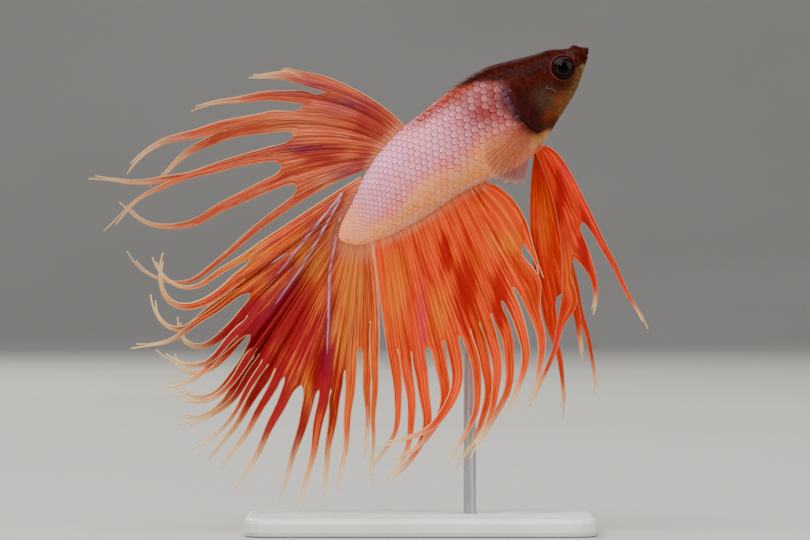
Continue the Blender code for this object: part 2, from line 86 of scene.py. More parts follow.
DORSAL_RAYS = ray_table(
    (19.4, 135, 39, 205, 24.4, 1.2, 0.74, 0.84, 1.2), (18.7, 136, 46, 0, 26.4, -1.0, 0.42, 0.60, 1.2),
    (17.6, 140, 51, 2, 34.4, 1.4, 0.37, 0.62, 1.8), (16.0, 149, 48, 40, 45.2, -1.3, 0.60, 0.78),
    (15.3, 150, 48, 30, 41.2, 1.3, 0.31, 0.55), (14.1, 170, 32, -30, 47.6, 0.2, 0.68, 0.50),
    (13.6, 170, 30, 30, 47.4, -1.8, 0.34, 0.64), (12.2, 183, 28, -76, 44.0, 1.9, 0.29, 0.62),
    (10.7, 199, 25, -100, 46.2, 2.6, 0.0, 0.60),
)
CAUDAL_RAYS = ray_table(
    (9.0, 212, 2, -106, 40.8, -1.0, 0.51, 0.70), (6.6, 217, 0, -148, 43.8, -2.6, 0.49, 0.61),
    (4.8, 218, 0, -128, 41.8, 1.6, 0.52, 0.71), (3.7, 217, 0, -36, 41.4, -1.0, 0.52, 0.74),
    (2.8, 225, 0, -132, 38.0, 2.2, 0.54, 0.70), (2.1, 228, 0, -95, 40.0, -2.2, 0.56, 0.68),
    (1.5, 229, 0, -106, 38.4, 1.8, 0.56, 0.74), (1.0, 227, 0, -46, 39.0, -2.0, 0.56, 0.76),
    (0.65, 235, 0, -92, 40.2, 2.2, 0.56, 0.70), (0.4, 235, 0, -88, 39.8, -1.8, 0.56, 0.72),
    (0.2, 236, 0, -70, 40.2, 2.4, 0.56, 0.76), (0.1, 237, 0, -46, 40.8, 0.6, 0.57, 0.66),
    (0.0, 239, 0, -44, 41.2, -1.6, 0.57, 0.78), (-0.2, 240, 0, -8, 40.8, 1.4, 0.57),
    (-0.3, 243, 0, -10, 41.2, 0.0, 0.54), (-0.5, 251, -6, -4, 42.8, -2.0, 0.57),
    (-0.8, 257, -3, -8, 42.2, 1.8, 0.57, 0.76), (-1.2, 259, 0, -10, 42.8, -1.4, 0.54, 0.76),
    (-1.6, 262, 0, 2, 40.4, 1.4, 0.49), (-2.0, 266, 0, -6, 39.2, -1.2, 0.45, 0.70),
    (-2.5, 274, -4, -2, 34.0, 0.8, 0.34, 0.70), (-3.0, 279, -11, 0, 38.6, -1.0, 0.0),
)
ANAL_RAYS = ray_table(
    (-4.9, 277, 0, -50, 38.6, 0.8, 0.44, 0.58), (-6.3, 280, -3, -42, 40.6, -0.8, 0.44, 0.60),
    (-7.9, 281, -2, -72, 43.6, 0.9, 0.44, 0.58), (-9.6, 285, -1, -76, 41.5, -0.8, 0.44, 0.50),
    (-11.4, 287, 0, -98, 43.8, -3.2, 0.42, 0.40), (-13.1, 290, 0, -62, 43.2, -1.9, 0.42, 0.44),
    (-14.8, 289, 0, -56, 43.6, 0.3, 0.42, 0.46), (-16.4, 291, 0, -52, 42.6, -2.2, 0.42, 0.40),
    (-18.0, 293, 0, -62, 42.2, -0.3, 0.42, 0.42), (-19.6, 296, 0, -60, 38.8, -2.3, 0.42, 0.46),
    (-21.4, 299, 0, -50, 37.6, -0.6, 0.46, 0.44), (-24.4, 344, -62, 0, 18.5, -0.2, 0.0),
)
PELVIC_RAYS = {
    "right": ray_table(
        (-1.1, 295, -54, 0, 42.7, -3.6, 0.55, 0.62, 1.0), (-0.5, 293, 0, -40, 28.5, -2.0, 0.42, 0.70),
        (0.0, 350, -54, 0, 34.4, -3.0, 0.0, 0.62, 14.0),
    ),
    "left": ray_table(
        (-1.1, 261, 35, -32, 43.8, 3.0, 0.60, 0.70, 1.2), (-0.5, 283, 0, -6, 35.2, 2.2, 0.45),
        (0.0, 287, -4, -14, 41.2, 3.2, 0.0, 0.80, 5.0),
    ),
}
PELVIC_ROOT = (34.6, -8.75)
PELVIC_SIDE = 1.25
PECTORAL_COUNT = 15
PECTORAL_ROOTS = ((34.25, -4.3), (34.35, -6.4))
PECTORAL_HEADINGS = (202.0, 262.0)
PECTORAL_LENGTHS = (7.6, 10.4, 8.6)
PECTORAL_SPREAD = math.radians(20.0)

# ---- how finely the fins are made ----
STEPS = 144                   # rows along a ray
SINK = (1.4, 0.7)             # how deep the rows before the root lie in the body
MEMBRANE = 0.09               # thickness between the rays
RIDGE = 0.17                  # how much thicker a ray is
STRAND_TIP = 0.16
EDGE = 0.30                   # membrane outside the first and last rays
PRONG_TIP = 0.10
RIPPLE = (4.0, 9.0)           # how far a ray wavers in degrees, and one wave's length
SWAY = (0.25, 13.0)           # how far it sways sideways, and one wave's length

# ---- the scales ----
COAT = 0.13                   # how deep the skin lies under the scales' outer face
SCALE_ROWS = 36               # rows round the body
SCALE_PITCH = ((-0.4, 4.0, 9.0, 14.0, 20.0, 36.0, 44.0), (0.5, 0.72, 0.97, 1.1, 1.2, 1.22, 0.8))
SCALE_ROUND = 1.75            # exponent of a scale's outline
SCALE_THICK = 0.05
SCALE_REACH = (0.78, 0.66)    # half a scale's length in pitches, and half its width in rows
EYE_CLEARANCE = 3.0           # how near the eye's axis a scale may be

# ---- the view ----
VIEW_MIDDLE = (-2.4, 42.3)    # X and Z that the camera looks at
VIEW_WIDTH = 130.4
VIEW_DISTANCE = 1000.0
SENSOR = 36.0

random = np.random.default_rng(7)


def ease(u):
    """A smooth step from 0 to 1."""
    u = np.clip(u, 0.0, 1.0)
    return u * u * (3 - 2 * u)


def rise(x, start, width):
    """A smooth step from 0 at the start to 1 a width later."""
    return ease((x - start) / width)


def fall(x, start, width):
    return 1 - rise(x, start, width)


def bell(x, width):
    return np.exp(-(x / width) ** 2)


def strongest(*values):
    return np.maximum.reduce(np.broadcast_arrays(*values))


def spot(x, z, mid_x, mid_z, reach_x, reach_z):
    """1 at the middle of a soft oval, falling to 0 round it."""
    return bell(np.hypot((x - mid_x) / reach_x, (z - mid_z) / reach_z), 1.0)


def smooth_curve(xs, ys):
    """A curve through the points with no overshoot, as a function of x."""
    xs, ys = np.array(xs, float), np.array(ys, float)
    widths = np.diff(xs)
    rises = np.diff(ys) / widths
    before, after = rises[:-1], rises[1:]
    alike = before * after > 0
    inner = np.where(alike, 2 * before * after / np.where(alike, before + after, 1.0), 0.0)
    slopes = np.concatenate(([rises[0]], inner, [rises[-1]]))

    def value(x):
        x = np.clip(x, xs[0], xs[-1])
        i = np.clip(np.searchsorted(xs, x, side="right") - 1, 0, len(xs) - 2)
        u = (x - xs[i]) / widths[i]
        ends = (1 + 2 * u) * (1 - u) ** 2 * ys[i] + u * u * (3 - 2 * u) * ys[i + 1]
        turns = u * (1 - u) ** 2 * slopes[i] - u * u * (1 - u) * slopes[i + 1]
        return ends + widths[i] * turns

    return value


along, *profiles = zip(*STATIONS)
back, belly, half_width = (smooth_curve(along, values) for values in profiles)


def to_world(t, y, d):
    """Places in the body's frame as X, Y, Z in millimetres."""
    x = TAIL_ROOT[0] + t * math.cos(PITCH) - d * math.sin(PITCH)
    z = TAIL_ROOT[1] + t * math.sin(PITCH) + d * math.cos(PITCH)
    return np.stack(np.broadcast_arrays(x, y, z), -1)


def fullness(t):
    return 1.12 - 0.27 * rise(t, NAPE, 8.0)


def section(t, angle):
    """y and d of the body's surface; angle 0 is the back, pi the belly, over pi the +Y side."""
    top, bottom = back(t), belly(t)
    side = np.where(angle <= math.pi, -1.0, 1.0)
    y = side * half_width(t) * np.abs(np.sin(angle)) ** fullness(t)
    return y, 0.5 * (top + bottom) + 0.5 * (top - bottom) * np.cos(angle)


def body_point(t, angle):
    y, d = section(t, angle)
    return to_world(t, y, d)


def body_normal(t, angle):
    """The way out of the body's surface at t and angle."""
    along = body_point(t + 0.05, angle) - body_point(t - 0.05, angle)
    round_ = body_point(t, angle + 0.01) - body_point(t, angle - 0.01)
    out = np.cross(round_, along)
    return out / np.maximum(np.linalg.norm(out, axis=-1, keepdims=True), 1e-9)


def surface_y(t, d):
    """Half the body's width at t and d."""
    top, bottom = back(t), belly(t)
    across = np.clip((2 * d - top - bottom) / (top - bottom), -1.0, 1.0)
    return half_width(t) * np.sin(np.arccos(across)) ** fullness(t)


def outline_point(v, off=0.0):
    """A place on the outline: the back at t = v, round the tail root, and the belly at t = -v."""
    def bare(w):
        t = abs(w) + TAIL_END
        return np.array((t, back(t) if w >= 0 else belly(t)))
    along = bare(v + 0.05) - bare(v - 0.05)
    outward = np.array((-along[1], along[0])) / np.hypot(*along)
    t, d = bare(v) + outward * off
    return to_world(t, 0.0, d)


def path_distance(t, d, path):
    """How far places in the plane are from a line through the path's points."""
    nearest = np.full(np.shape(t), 1e9)
    for (t0, d0), (t1, d1) in zip(path, path[1:]):
        run, rise = t1 - t0, d1 - d0
        u = np.clip(((t - t0) * run + (d - d0) * rise) / (run * run + rise * rise), 0.0, 1.0)
        nearest = np.minimum(nearest, np.hypot(t - t0 - u * run, d - d0 - u * rise))
    return nearest


# ---- making meshes ----

def make_piece(name, points, faces, material, marks):
    """A mesh object from points in millimetres, with each mark kept as a value at its points."""
    mesh = bpy.data.meshes.new(name)
    mesh.from_pydata((np.asarray(points) * MM).tolist(), [], faces)
    for mark, values in marks.items():
        layer = mesh.attributes.new(mark, "FLOAT", "POINT")
        layer.data.foreach_set("value", np.asarray(values, np.float32).ravel())
    mesh.shade_smooth()
    mesh.materials.append(material)
    piece = bpy.data.objects.new(name, mesh)
    bpy.context.scene.collection.objects.link(piece)
    return piece


def settle(piece, slot, *nodes):
    """The piece stands on the frame for its solids; the slot is not used."""
    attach(piece, "root")
    if nodes:
        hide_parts(*nodes)


def sheet_normals(points, quads):
    corner = points[quads]
    out = np.cross(corner[:, 2] - corner[:, 0], corner[:, 3] - corner[:, 1])
    total = np.zeros_like(points)
    for i in range(4):
        np.add.at(total, quads[:, i], out)
    return total / np.maximum(np.linalg.norm(total, axis=1, keepdims=True), 1e-12)


def shell(points, quads, thickness):
    """The sheet as a closed shell: its points twice, and faces for both sides and the rim."""
    out = sheet_normals(points, quads) * (0.5 * np.asarray(thickness))[:, None]
    count = len(points)
    starts = quads.ravel()
    ends = np.roll(quads, -1, axis=1).ravel()
    lone = ~np.isin(starts * count + ends, ends * count + starts)
    a, b = starts[lone], ends[lone]
    rim = np.stack((b, a, a + count, b + count), 1)
    faces = np.concatenate((quads, quads[:, ::-1] + count, rim))
    return np.concatenate((points + out, points - out)), faces.tolist()


def round_faces(sides, rings, closed=False):
    """Faces over rings of points round a first point, shut by a last point when closed."""
    faces = []
    outer = 1 + (rings - 1) * sides
    for i in range(sides):
        j = (i + 1) % sides
        faces.append((0, 1 + i, 1 + j))
        if closed:
            faces.append((outer + sides, outer + j, outer + i))
        for near in range(1, outer, sides):
            far = near + sides
            faces.append((near + i, far + i, far + j, near + j))
    return faces


# ---- the skin ----

SKIN_SIDES = 280
# t from, t to, and the step between rows
SKIN_ROWS = ((-0.4, 1.0, 0.12), (1.0, 34.0, 0.25), (34.0, 42.4, 0.12), (42.4, 48.5, 0.07),
             (48.5, SNOUT_TIP, 0.045))

FRONT_EDGE = ((50.2, -1.2), (48.3, -2.9))     # the lips' front edge, seen from the side
MOUTH_LINE = ((48.45, -2.75), (47.6, -2.5), (47.0, -2.45), (46.4, -2.3))
MAXILLA = ((47.7, -2.2), (47.0, -2.1), (46.55, -1.9))
SNOUT_CREASE = ((47.45, 1.0), (47.55, 0.2), (47.6, -0.3), (47.2, -1.0))
NOSTRIL_AT = (47.05, 0.1)
JAW_CREASE = ((46.4, -2.45), (44.6, -4.0), (42.6, -5.5), (40.6, -6.7))
CHEEK_CREASE = ((42.9, 0.4), (42.2, -1.6), (42.3, -3.6), (43.4, -4.7))
BROW_CREASE = ((43.0, -0.4), (43.6, 0.9), (44.9, 1.4), (46.3, 0.9))
CHEEK_CURL = ((41.2, -1.9), (40.98, -2.1), (40.98, -2.3), (41.2, -2.5), (41.5, -2.7),
              (41.66, -3.05), (41.64, -3.5))

# lines of the head: the path, the height, the width, and whether they stop short of the middle
HEAD_LINES = ((MOUTH_LINE, -0.20, 0.10, True), (MAXILLA, 0.10, 0.22, True),
              (SNOUT_CREASE, -0.12, 0.10, False), (JAW_CREASE, -0.10, 0.16, True),
              (CHEEK_CREASE, -0.06, 0.15, False), (BROW_CREASE, -0.05, 0.2, False))


def eye_frame(sign):
    """The eye's middle on the cheek, and the way it looks; sign is -1 on the right side."""
    t, d = EYE_AT
    angle = math.acos((2 * d - back(t) - belly(t)) / (back(t) - belly(t)))
    if sign > 0:
        angle = 2 * math.pi - angle
    look = body_normal(t, angle) + np.array((0.0, sign * 1.2, 0.0))
    return body_point(t, angle), look / np.linalg.norm(look)


def eye_distance(points):
    """How far points are from the nearer eye's axis."""
    nearest = np.full(points.shape[:-1], 1e9)
    for sign in (-1, 1):
        middle, look = eye_frame(sign)
        away = points - middle
        height = away @ look
        across = np.linalg.norm(away - height[..., None] * look, axis=-1)
        nearest = np.minimum(nearest, np.where(np.abs(height) < 2.5, across, 1e9))
    return nearest


def gill_place(t, angle):
    """How far ahead of the gill cover's rear edge, and how far inside its ends, from 0 to 1."""
    folded = np.where(angle > math.pi, 2 * math.pi - angle, angle)
    v = np.clip((folded - GILL_ANGLES[0]) / (GILL_ANGLES[1] - GILL_ANGLES[0]), 0.0, 1.0)
    ahead = t - (GILL_REAR - GILL_SWEEP * np.sin(math.pi * v) ** 0.8)
    return ahead, ease(v / 0.08) * ease((1 - v) / 0.06)


def lip_depth(t, d):
    """How far behind the lips' front edge a place is, and 1 beside that edge, 0 past its ends."""
    (t0, d0), (t1, d1) = FRONT_EDGE
    square_on = 0.67          # turns a length along t into one square to the edge
    behind = (t0 + (d - d0) * (t1 - t0) / (d1 - d0) - t) * square_on
    return behind, rise(d, -2.95, 0.3) * fall(d, -0.7, 0.5)


def mouth_slit(t, angle, y):
    """How far ahead of the curved slit between the lips, and 1 between its corners."""
    under = ease((0.1 - np.cos(angle)) / 0.4)
    return t - 49.45 + 0.42 * y ** 2, ease(under / 0.6) * ease((1.12 - np.abs(y)) / 0.3)


def nostril_distance(t, d):
    return np.hypot(t - NOSTRIL_AT[0], d - NOSTRIL_AT[1])


def head_relief(t, angle, points, y, d):
    """The skin's height over the plain form, in millimetres."""
    # the eye's rim with a swelling round it, and the socket inside
    reach = eye_distance(points)
    high = 0.15 * bell(reach - 2.02, 0.13) + 0.10 * bell(reach - 2.45, 0.4)
    high -= ease((1.92 - reach) / 0.2)

    # the gill cover's raised edge, the slit behind it, and the ribbed flap in the slit
    ahead, inside = gill_place(t, angle)
    cover = rise(ahead, 0.0, 0.14) * fall(ahead, 0.8, 3.0)
    high += 0.16 * cover * inside - 0.2 * bell(ahead + 0.2, 0.22) * inside
    high -= 0.04 * bell(ahead - 1.9, 0.3) * inside
    high += 0.05 * np.sin(5.5 * d + 2.0 * ahead) * bell(ahead + 0.9, 0.8) * inside

    # two lips, each with a groove behind it
    behind, beside = lip_depth(t, d)
    lips = 0.07 * bell(behind - 0.12, 0.18) - 0.09 * bell(behind - 0.38, 0.09)
    lips += 0.05 * bell(behind - 0.60, 0.15) - 0.07 * bell(behind - 0.84, 0.10)
    high += lips * beside * rise(t, 46.9, 0.6)

    off_middle = rise(np.abs(y), 0.25, 0.35)
    for path, height, width, stops in HEAD_LINES:
        line = height * bell(path_distance(t, d, path), width)
        high += line * off_middle if stops else line
    nostril = nostril_distance(t, d)
    high += 0.15 * bell(nostril - 0.24, 0.11) - 0.22 * bell(nostril, 0.13)

    # the grooves beside the keel under the jaw, and the slit between the lips
    keel = bell(np.abs(y) - 0.42, 0.22) * bell(d - belly(t), 0.5)
    high -= 0.12 * keel * rise(t, 37.4, 0.8) * fall(t, 47.4, 0.5)
    slit, between = mouth_slit(t, angle, y)
    high += between * (0.13 * bell(slit - 0.30, 0.20) + 0.13 * bell(slit + 0.32, 0.22)
                       - 0.42 * bell(slit, 0.10))
    return high


def coat_depth(t):
    """How far the skin lies inside the solids: the scales' depth, and less on the face."""
    return COAT * (1 - 0.75 * rise(t, 41.0, 3.5))


# t of the dark head's rear edge, for d from the belly to the back
HEAD_REAR = smooth_curve((-9.5, -7.6, -6.8, -4.5, -2.0, 0.0, 2.4, 5.5, 7.3),
                         (38.4, 37.0, 35.2, 34.6, 34.8, 35.4, 35.6, 32.4, 28.5))
# soft ovals of colour, and of painted shadow behind the gill cover: the strength, t and d of the
# middle, and the reach along t and d
SPOTS = {
    "plate": ((1.0, 39.5, -3.7, 2.2, 2.2),),
    "rust": ((0.3, 33.0, -1.5, 2.4, 3.4),),
    "lilac": ((1.0, 11.5, 4.6, 7.5, 3.4),),
    "ember": ((0.42, 38.4, -5.9, 2.4, 1.1), (0.36, 41.5, -5.0, 1.6, 1.0)),
    "bloom": ((0.75, 35.5, 1.5, 0.7, 0.6), (0.6, 35.0, 0.2, 0.55, 0.6),
              (0.5, 34.5, -1.3, 0.45, 0.7), (0.3, 34.4, -2.8, 0.35, 0.5)),
    # painted shadow behind and below the gill cover's rear edge
    "shade_and_dark_lips": ((1.5, 35.5, -4.0, 2.0, 3.6), (0.68, 34.3, -0.4, 1.9, 3.2)),
    "gold_and_rim_highlight": ((0.5, 47.7, -3.1, 0.42, 0.4), (1.0, 35.3, -8.2, 1.5, 1.0)),
}


def markings(t, angle, points):
    """The colour zones shared by the skin and the scales, with the painted shade and painted rim
    highlight among them, each from 0 to 1.
    """
    y, d = section(t, angle)
    over_belly = d - belly(t)
    up = over_belly / (back(t) - belly(t))
    ahead, inside = gill_place(t, angle)
    behind, beside = lip_depth(t, d)
    slit, between = mouth_slit(t, angle, y)
    reach = eye_distance(points)
    ovals = {mark: strongest(*(strength * spot(t, d, *oval) for strength, *oval in rows))
             for mark, rows in SPOTS.items()}
    crown = rise(t, HEAD_REAR(d) - 1.3, 2.6)
    before_chin = fall(t, 47.8, 0.4)
    rear_top = 0.5 + 0.43 * (d - EYE_AT[1]) - 0.25 * (t - EYE_AT[0])     # of the eye's rim
    return {
        "crown": crown,
        "cheek": crown * fall(d, -1.5, 2.4) * fall(t, 46.6, 1.2),
        "plate": ovals["plate"],
        "rose": rise(t, 19.0, 11.0) * rise(up, 0.25, 0.35),
        "rust": strongest(rise(up, 0.80, 0.16) * rise(t, 16.0, 7.0), ovals["rust"],
                          0.28 * rise(t, 46.6, 1.2)),
        "lilac": strongest(ovals["lilac"],
                           0.5 * fall(t, 20.0, 11.0) * rise(t, 3.0, 4.0) * rise(up, 0.34, 0.25)),
        "peach": strongest(fall(up, 0.20 + 0.06 * np.sin(t * 0.5), 0.26),
                           0.75 * fall(t, 2.0, 5.5)),
        "ember": strongest(0.32 * bell(up - 0.15, 0.15) * bell(t - 15.0, 11.0),
                           0.5 * rise(t, 24.0, 5.0) * fall(up, 0.10, 0.22) * fall(t, 34.6, 1.4),
                           ovals["ember"]),
        "olive": (rise(t, 38.6, 2.0) * bell(over_belly, 1.5) * fall(t, 47.9, 0.4)
                  * (1 - 0.85 * rise(t, 46.0, 0.6) * rise(d, -2.6, 0.3))),
        "bloom": (ovals["bloom"] * fall(ahead, 0.05, 0.25)
                  * (0.7 + 0.3 * np.sin(7.0 * d + 3.0 * t))),
        # painted shade along the gill cover's rear edge and in the slit behind it, in the eye's
        # socket, along the mouth's crease and in the slit between the lips, with the painted shadow
        # behind the gill cover; the lips' front edges are dark in their own colour
        "shade_and_dark_lips": strongest(np.minimum(ovals["shade_and_dark_lips"], 0.85),
                          0.8 * bell(ahead - 0.3, 0.8) * inside * fall(d, 0.6, 2.0),
                          0.9 * bell(ahead + 0.15, 0.28) * inside,
                          bell(behind - 0.12, 0.2) * beside * rise(t, 47.6, 0.5),
                          0.9 * ease((2.0 - reach) / 0.12),
                          0.6 * bell(path_distance(t, d, MOUTH_LINE), 0.12),
                          0.95 * between * bell(slit, 0.12)),
        # painted rim highlight along the keel under the jaw and along the lower edge of the head,
        # with the gold spots at the mouth's corner and on the throat
        "gold_and_rim_highlight": strongest(0.3 * rise(t, 37.4, 1.0) * bell(y, 0.24) * bell(over_belly, 0.4)
                          * before_chin,
                          0.36 * rise(t, 37.8, 1.0) * bell(over_belly, 0.15) * before_chin,
                          ovals["gold_and_rim_highlight"]),
        "pale": strongest((0.05 + 0.14 * ease(rear_top)) * bell(reach - 2.08, 0.06),
                          0.16 * bell(nostril_distance(t, d) - 0.22, 0.1),
                          0.12 * bell(path_distance(t, d, SNOUT_CREASE[1:]) - 0.12, 0.07),
                          0.22 * bell(path_distance(t, d, CHEEK_CURL), 0.08),
                          0.45 * bell(over_belly, 0.9) * rise(t, 4.0, 4.0) * fall(t, 26.0, 4.0)),
    }


def make_skin(material):
    """One closed skin from the tail root to the snout."""
    rows = np.concatenate([np.arange(low, high, step) for low, high, step in SKIN_ROWS]
                          + [[SNOUT_TIP]])
    angles = np.arange(SKIN_SIDES) * (2 * math.pi / SKIN_SIDES)
    t, angle = np.meshgrid(rows, angles, indexing="ij")
    y, d = section(t, angle)
    points = to_world(t, y, d)
    high = head_relief(t, angle, points, y, d) - coat_depth(t)
    ends = rise(t, TAIL_END, 1.0)
    placed = points + body_normal(t, angle) * (high * ends)[..., None]
    marks = markings(t, angle, points)

    count = len(rows) * SKIN_SIDES
    grid = np.arange(count).reshape(len(rows), SKIN_SIDES)
    around = np.roll(grid, -1, axis=1)
    quads = np.stack((grid[:-1], grid[1:], around[1:], around[:-1]), -1).reshape(-1, 4)
    tail_end = [(count, int(grid[0, i]), int(around[0, i])) for i in range(SKIN_SIDES)]
    nose_end = [(count + 1, int(around[-1, i]), int(grid[-1, i])) for i in range(SKIN_SIDES)]
    middles = np.stack((placed[0].mean(0), placed[-1].mean(0)))
    points = np.concatenate((placed.reshape(-1, 3), middles))
    marks = {name: np.append(values.ravel(), (values[0].mean(), values[-1].mean()))
             for name, values in marks.items()}
    skin = make_piece("body_skin", points, quads.tolist() + tail_end + nose_end, material, marks)
    settle(skin, "flank_scales", "trunk", "tail_stem", "head", "lower_jaw", "gill_cover_left",
           "gill_cover_right")


# ---- the scales ----

def unroll():
    """The angle for places along the body and shares of the way round it, and the girth."""
    ts = np.linspace(TAIL_END, SNOUT_TIP, 260)
    angles = np.linspace(0, 2 * math.pi, 721)
    shares = np.linspace(0, 1, 401)
    girths, table = [], []
    for t in ts:
        y, d = section(np.full_like(angles, t), angles)
        walked = np.concatenate(([0.0], np.cumsum(np.hypot(np.diff(y), np.diff(d)))))
        girths.append(walked[-1])
        table.append(np.interp(shares, walked / walked[-1], angles))
    table = np.array(table)

    def angle_at(t, share):
        row = np.clip((t - ts[0]) / (ts[1] - ts[0]), 0, len(ts) - 1.001)
        column = (share % 1.0) * (len(shares) - 1)
        r, c = row.astype(int), np.minimum(column.astype(int), len(shares) - 2)
        fr, fc = row - r, column - c
        near = table[r, c] * (1 - fc) + table[r, c + 1] * fc
        far = table[r + 1, c] * (1 - fc) + table[r + 1, c + 1] * fc
        return near * (1 - fr) + far * fr

    def girth_at(t):
        return np.interp(t, ts, girths)

    return angle_at, girth_at


def scale_roots(side, pitch_at, angle_at):
    """Each plate's place along and share of the way round, clear of the eyes, cheeks and chin."""
    fine = np.linspace(-0.2, 44.2, 2000)
    counted = np.concatenate(([0.0], np.cumsum(np.diff(fine) / pitch_at(fine[1:]))))
    half = SCALE_ROWS // 2
    roots = []
    for row in range(half) if side == "right" else range(half, SCALE_ROWS):
        places = np.arange(0.4 + 0.5 * (row % 2), counted[-1], 1.0)
        roots += [(t, (row + 0.5) / SCALE_ROWS) for t in np.interp(places, counted, fine)]
    t, share = np.array(roots).T
    angle = angle_at(t, share)
    _, d = section(t, angle)
    up = (d - belly(t)) / (back(t) - belly(t))
    ahead, inside = gill_place(t, angle)
    kept = eye_distance(body_point(t, angle)) > EYE_CLEARANCE
    kept &= ~((ahead > -0.8) & (inside > 0) & (up < 0.72) & (t < 43.0) & (t > 30))
    kept &= (t < 37.0) | (up > 0.5)
    return t[kept, None], share[kept, None]


def scale_outline():
    """A plate's points: from -1 at its root to 1 at its rear edge, and from -1 to 1 across."""
    across = np.sin(np.linspace(-0.5, 0.5, 9) * math.pi)
    rear = (1 - np.abs(across) ** SCALE_ROUND) ** (1 / SCALE_ROUND)
    along = np.array((0.0, 0.36, 0.62, 0.82, 0.94, 1.0))
    x = -1 + (rear + 1) * along[:, None]
    return x, np.broadcast_to(across, x.shape)


def make_scales(side, material):
    """One side's plates, overlapping in rows along the body, each lifted at its rear edge."""
    angle_at, girth_at = unroll()
    pitch_at = smooth_curve(*SCALE_PITCH)
    t0, share0 = scale_roots(side, pitch_at, angle_at)
    x, y = scale_outline()
    count, flat = len(t0), x.size
    numbers = np.arange(flat).reshape(x.shape)
    x, y = x.reshape(1, -1), y.reshape(1, -1)

    pitch = pitch_at(t0)
    size = random.uniform(0.95, 1.05, (count, 1))
    turn = random.normal(0, 0.035, (count, 1))
    xs = x * np.cos(turn) - y * np.sin(turn)
    ys = y * np.cos(turn) + x * np.sin(turn)
    t = t0 - xs * pitch * SCALE_REACH[0] * size
    share = share0 + ys * SCALE_REACH[1] * size / SCALE_ROWS
    angle = angle_at(t, share)
    lift = (0.02 + 0.04 * (xs + 1) / 2) * random.uniform(0.85, 1.15, (count, 1))
    domed = 0.010 * (1 - ys ** 2) * np.minimum(girth_at(t0) / SCALE_ROWS, 1.5)
    rim = 0.014 * rise(np.maximum(xs, 0) ** SCALE_ROUND + np.abs(ys) ** SCALE_ROUND, 0.8, 0.2)
    flatter = 1 - 0.6 * rise(t0, 36.0, 4.0)       # on the head
    high = (lift + domed - rim) * flatter * np.minimum(pitch, 1.0) - coat_depth(t) - 0.015
    way = body_normal(t, angle)
    sheet = (body_point(t, angle) + way * high[..., None]).reshape(-1, 3)

    quads = np.stack((numbers[:-1, :-1], numbers[:-1, 1:], numbers[1:, 1:], numbers[1:, :-1]), -1)
    quads = (quads.reshape(1, -1, 4) + (np.arange(count) * flat)[:, None, None]).reshape(-1, 4)
    if np.sum(sheet_normals(sheet, quads) * way.reshape(-1, 3)) < 0:
        quads = quads[:, ::-1]
    solid, faces = shell(sheet, quads, np.full(len(sheet), SCALE_THICK))
    marks = markings(t, angle, body_point(t, angle))
    marks["lengthwise"] = xs
    marks["crosswise"] = ys
    marks["chance"] = np.broadcast_to(random.random((count, 1)), t.shape)
    marks = {name: np.tile(values.ravel(), 2) for name, values in marks.items()}
    scales = make_piece("body_scales_" + side, solid, faces, material, marks)
    patch_map(scales, t0, share0, xs, ys)
    settle(scales, "flank_scales")


PATCH_SIZE = 0.0015
UNDER = 0.005                 # how far a plate's underside lies from its face on the map


def patch_map(scales, t0, share0, xs, ys):
    """A small patch for each scale, at its place on the unrolled skin, with its underside by it."""
    u = 0.02 + 0.95 * (t0 + 1) / 52 + PATCH_SIZE * xs
    v = 0.01 + 0.96 * share0 + PATCH_SIZE * ys
    spots = np.stack((u.ravel(), v.ravel()), 1)
    spots = np.concatenate((spots, spots + (0.0, UNDER)))
    corners = np.zeros(len(scales.data.loops), np.int32)
    scales.data.loops.foreach_get("vertex_index", corners)
    unwrap = scales.data.uv_layers.new(name="OFBake")
    unwrap.data.foreach_set("uv", spots[corners].astype(np.float32).ravel())


# ---- the eyes ----

# distance from the eye's axis, and height over the cheek: the pupil, iris, rim and back
EYE_PROFILE = ((0.0, 0.50), (0.35, 0.485), (0.65, 0.445), (0.88, 0.385), (0.97, 0.345),
               (1.02, 0.325), (1.12, 0.31), (1.30, 0.245), (1.48, 0.16), (1.62, 0.075),
               (1.74, -0.02), (1.83, -0.14), (1.87, -0.32), (1.80, -0.62), (1.45, -0.98),
               (0.80, -1.2), (0.0, -1.28))
EYE_SIDES = 72


def make_eyes(material):
    """Each eyeball, turned round the way that the eye looks."""
    (_, front), *rings, (_, rear) = EYE_PROFILE
    turns = np.arange(EYE_SIDES)[:, None] * (2 * math.pi / EYE_SIDES)
    off_axis = np.repeat([radius for radius, height in rings], EYE_SIDES)
    faces = round_faces(EYE_SIDES, len(rings), closed=True)
    for side, sign in SIDES:
        middle, look = eye_frame(sign)
        level = np.array((math.cos(PITCH), 0.0, math.sin(PITCH)))
        level = level - look * (level @ look)
        level /= np.linalg.norm(level)
        ways = level * np.cos(turns) + np.cross(look, level) * np.sin(turns)
        points = [middle + look * front]
        for radius, height in rings:
            points.extend(middle + look * height + ways * radius)
        points.append(middle + look * rear)
        eye = make_piece("eyeball_" + side, points, faces, material,
                         {"off_axis": [0.0, *off_axis, 0.0]})
        settle(eye, "eye", "eye_" + side)


# ---- the fins ----

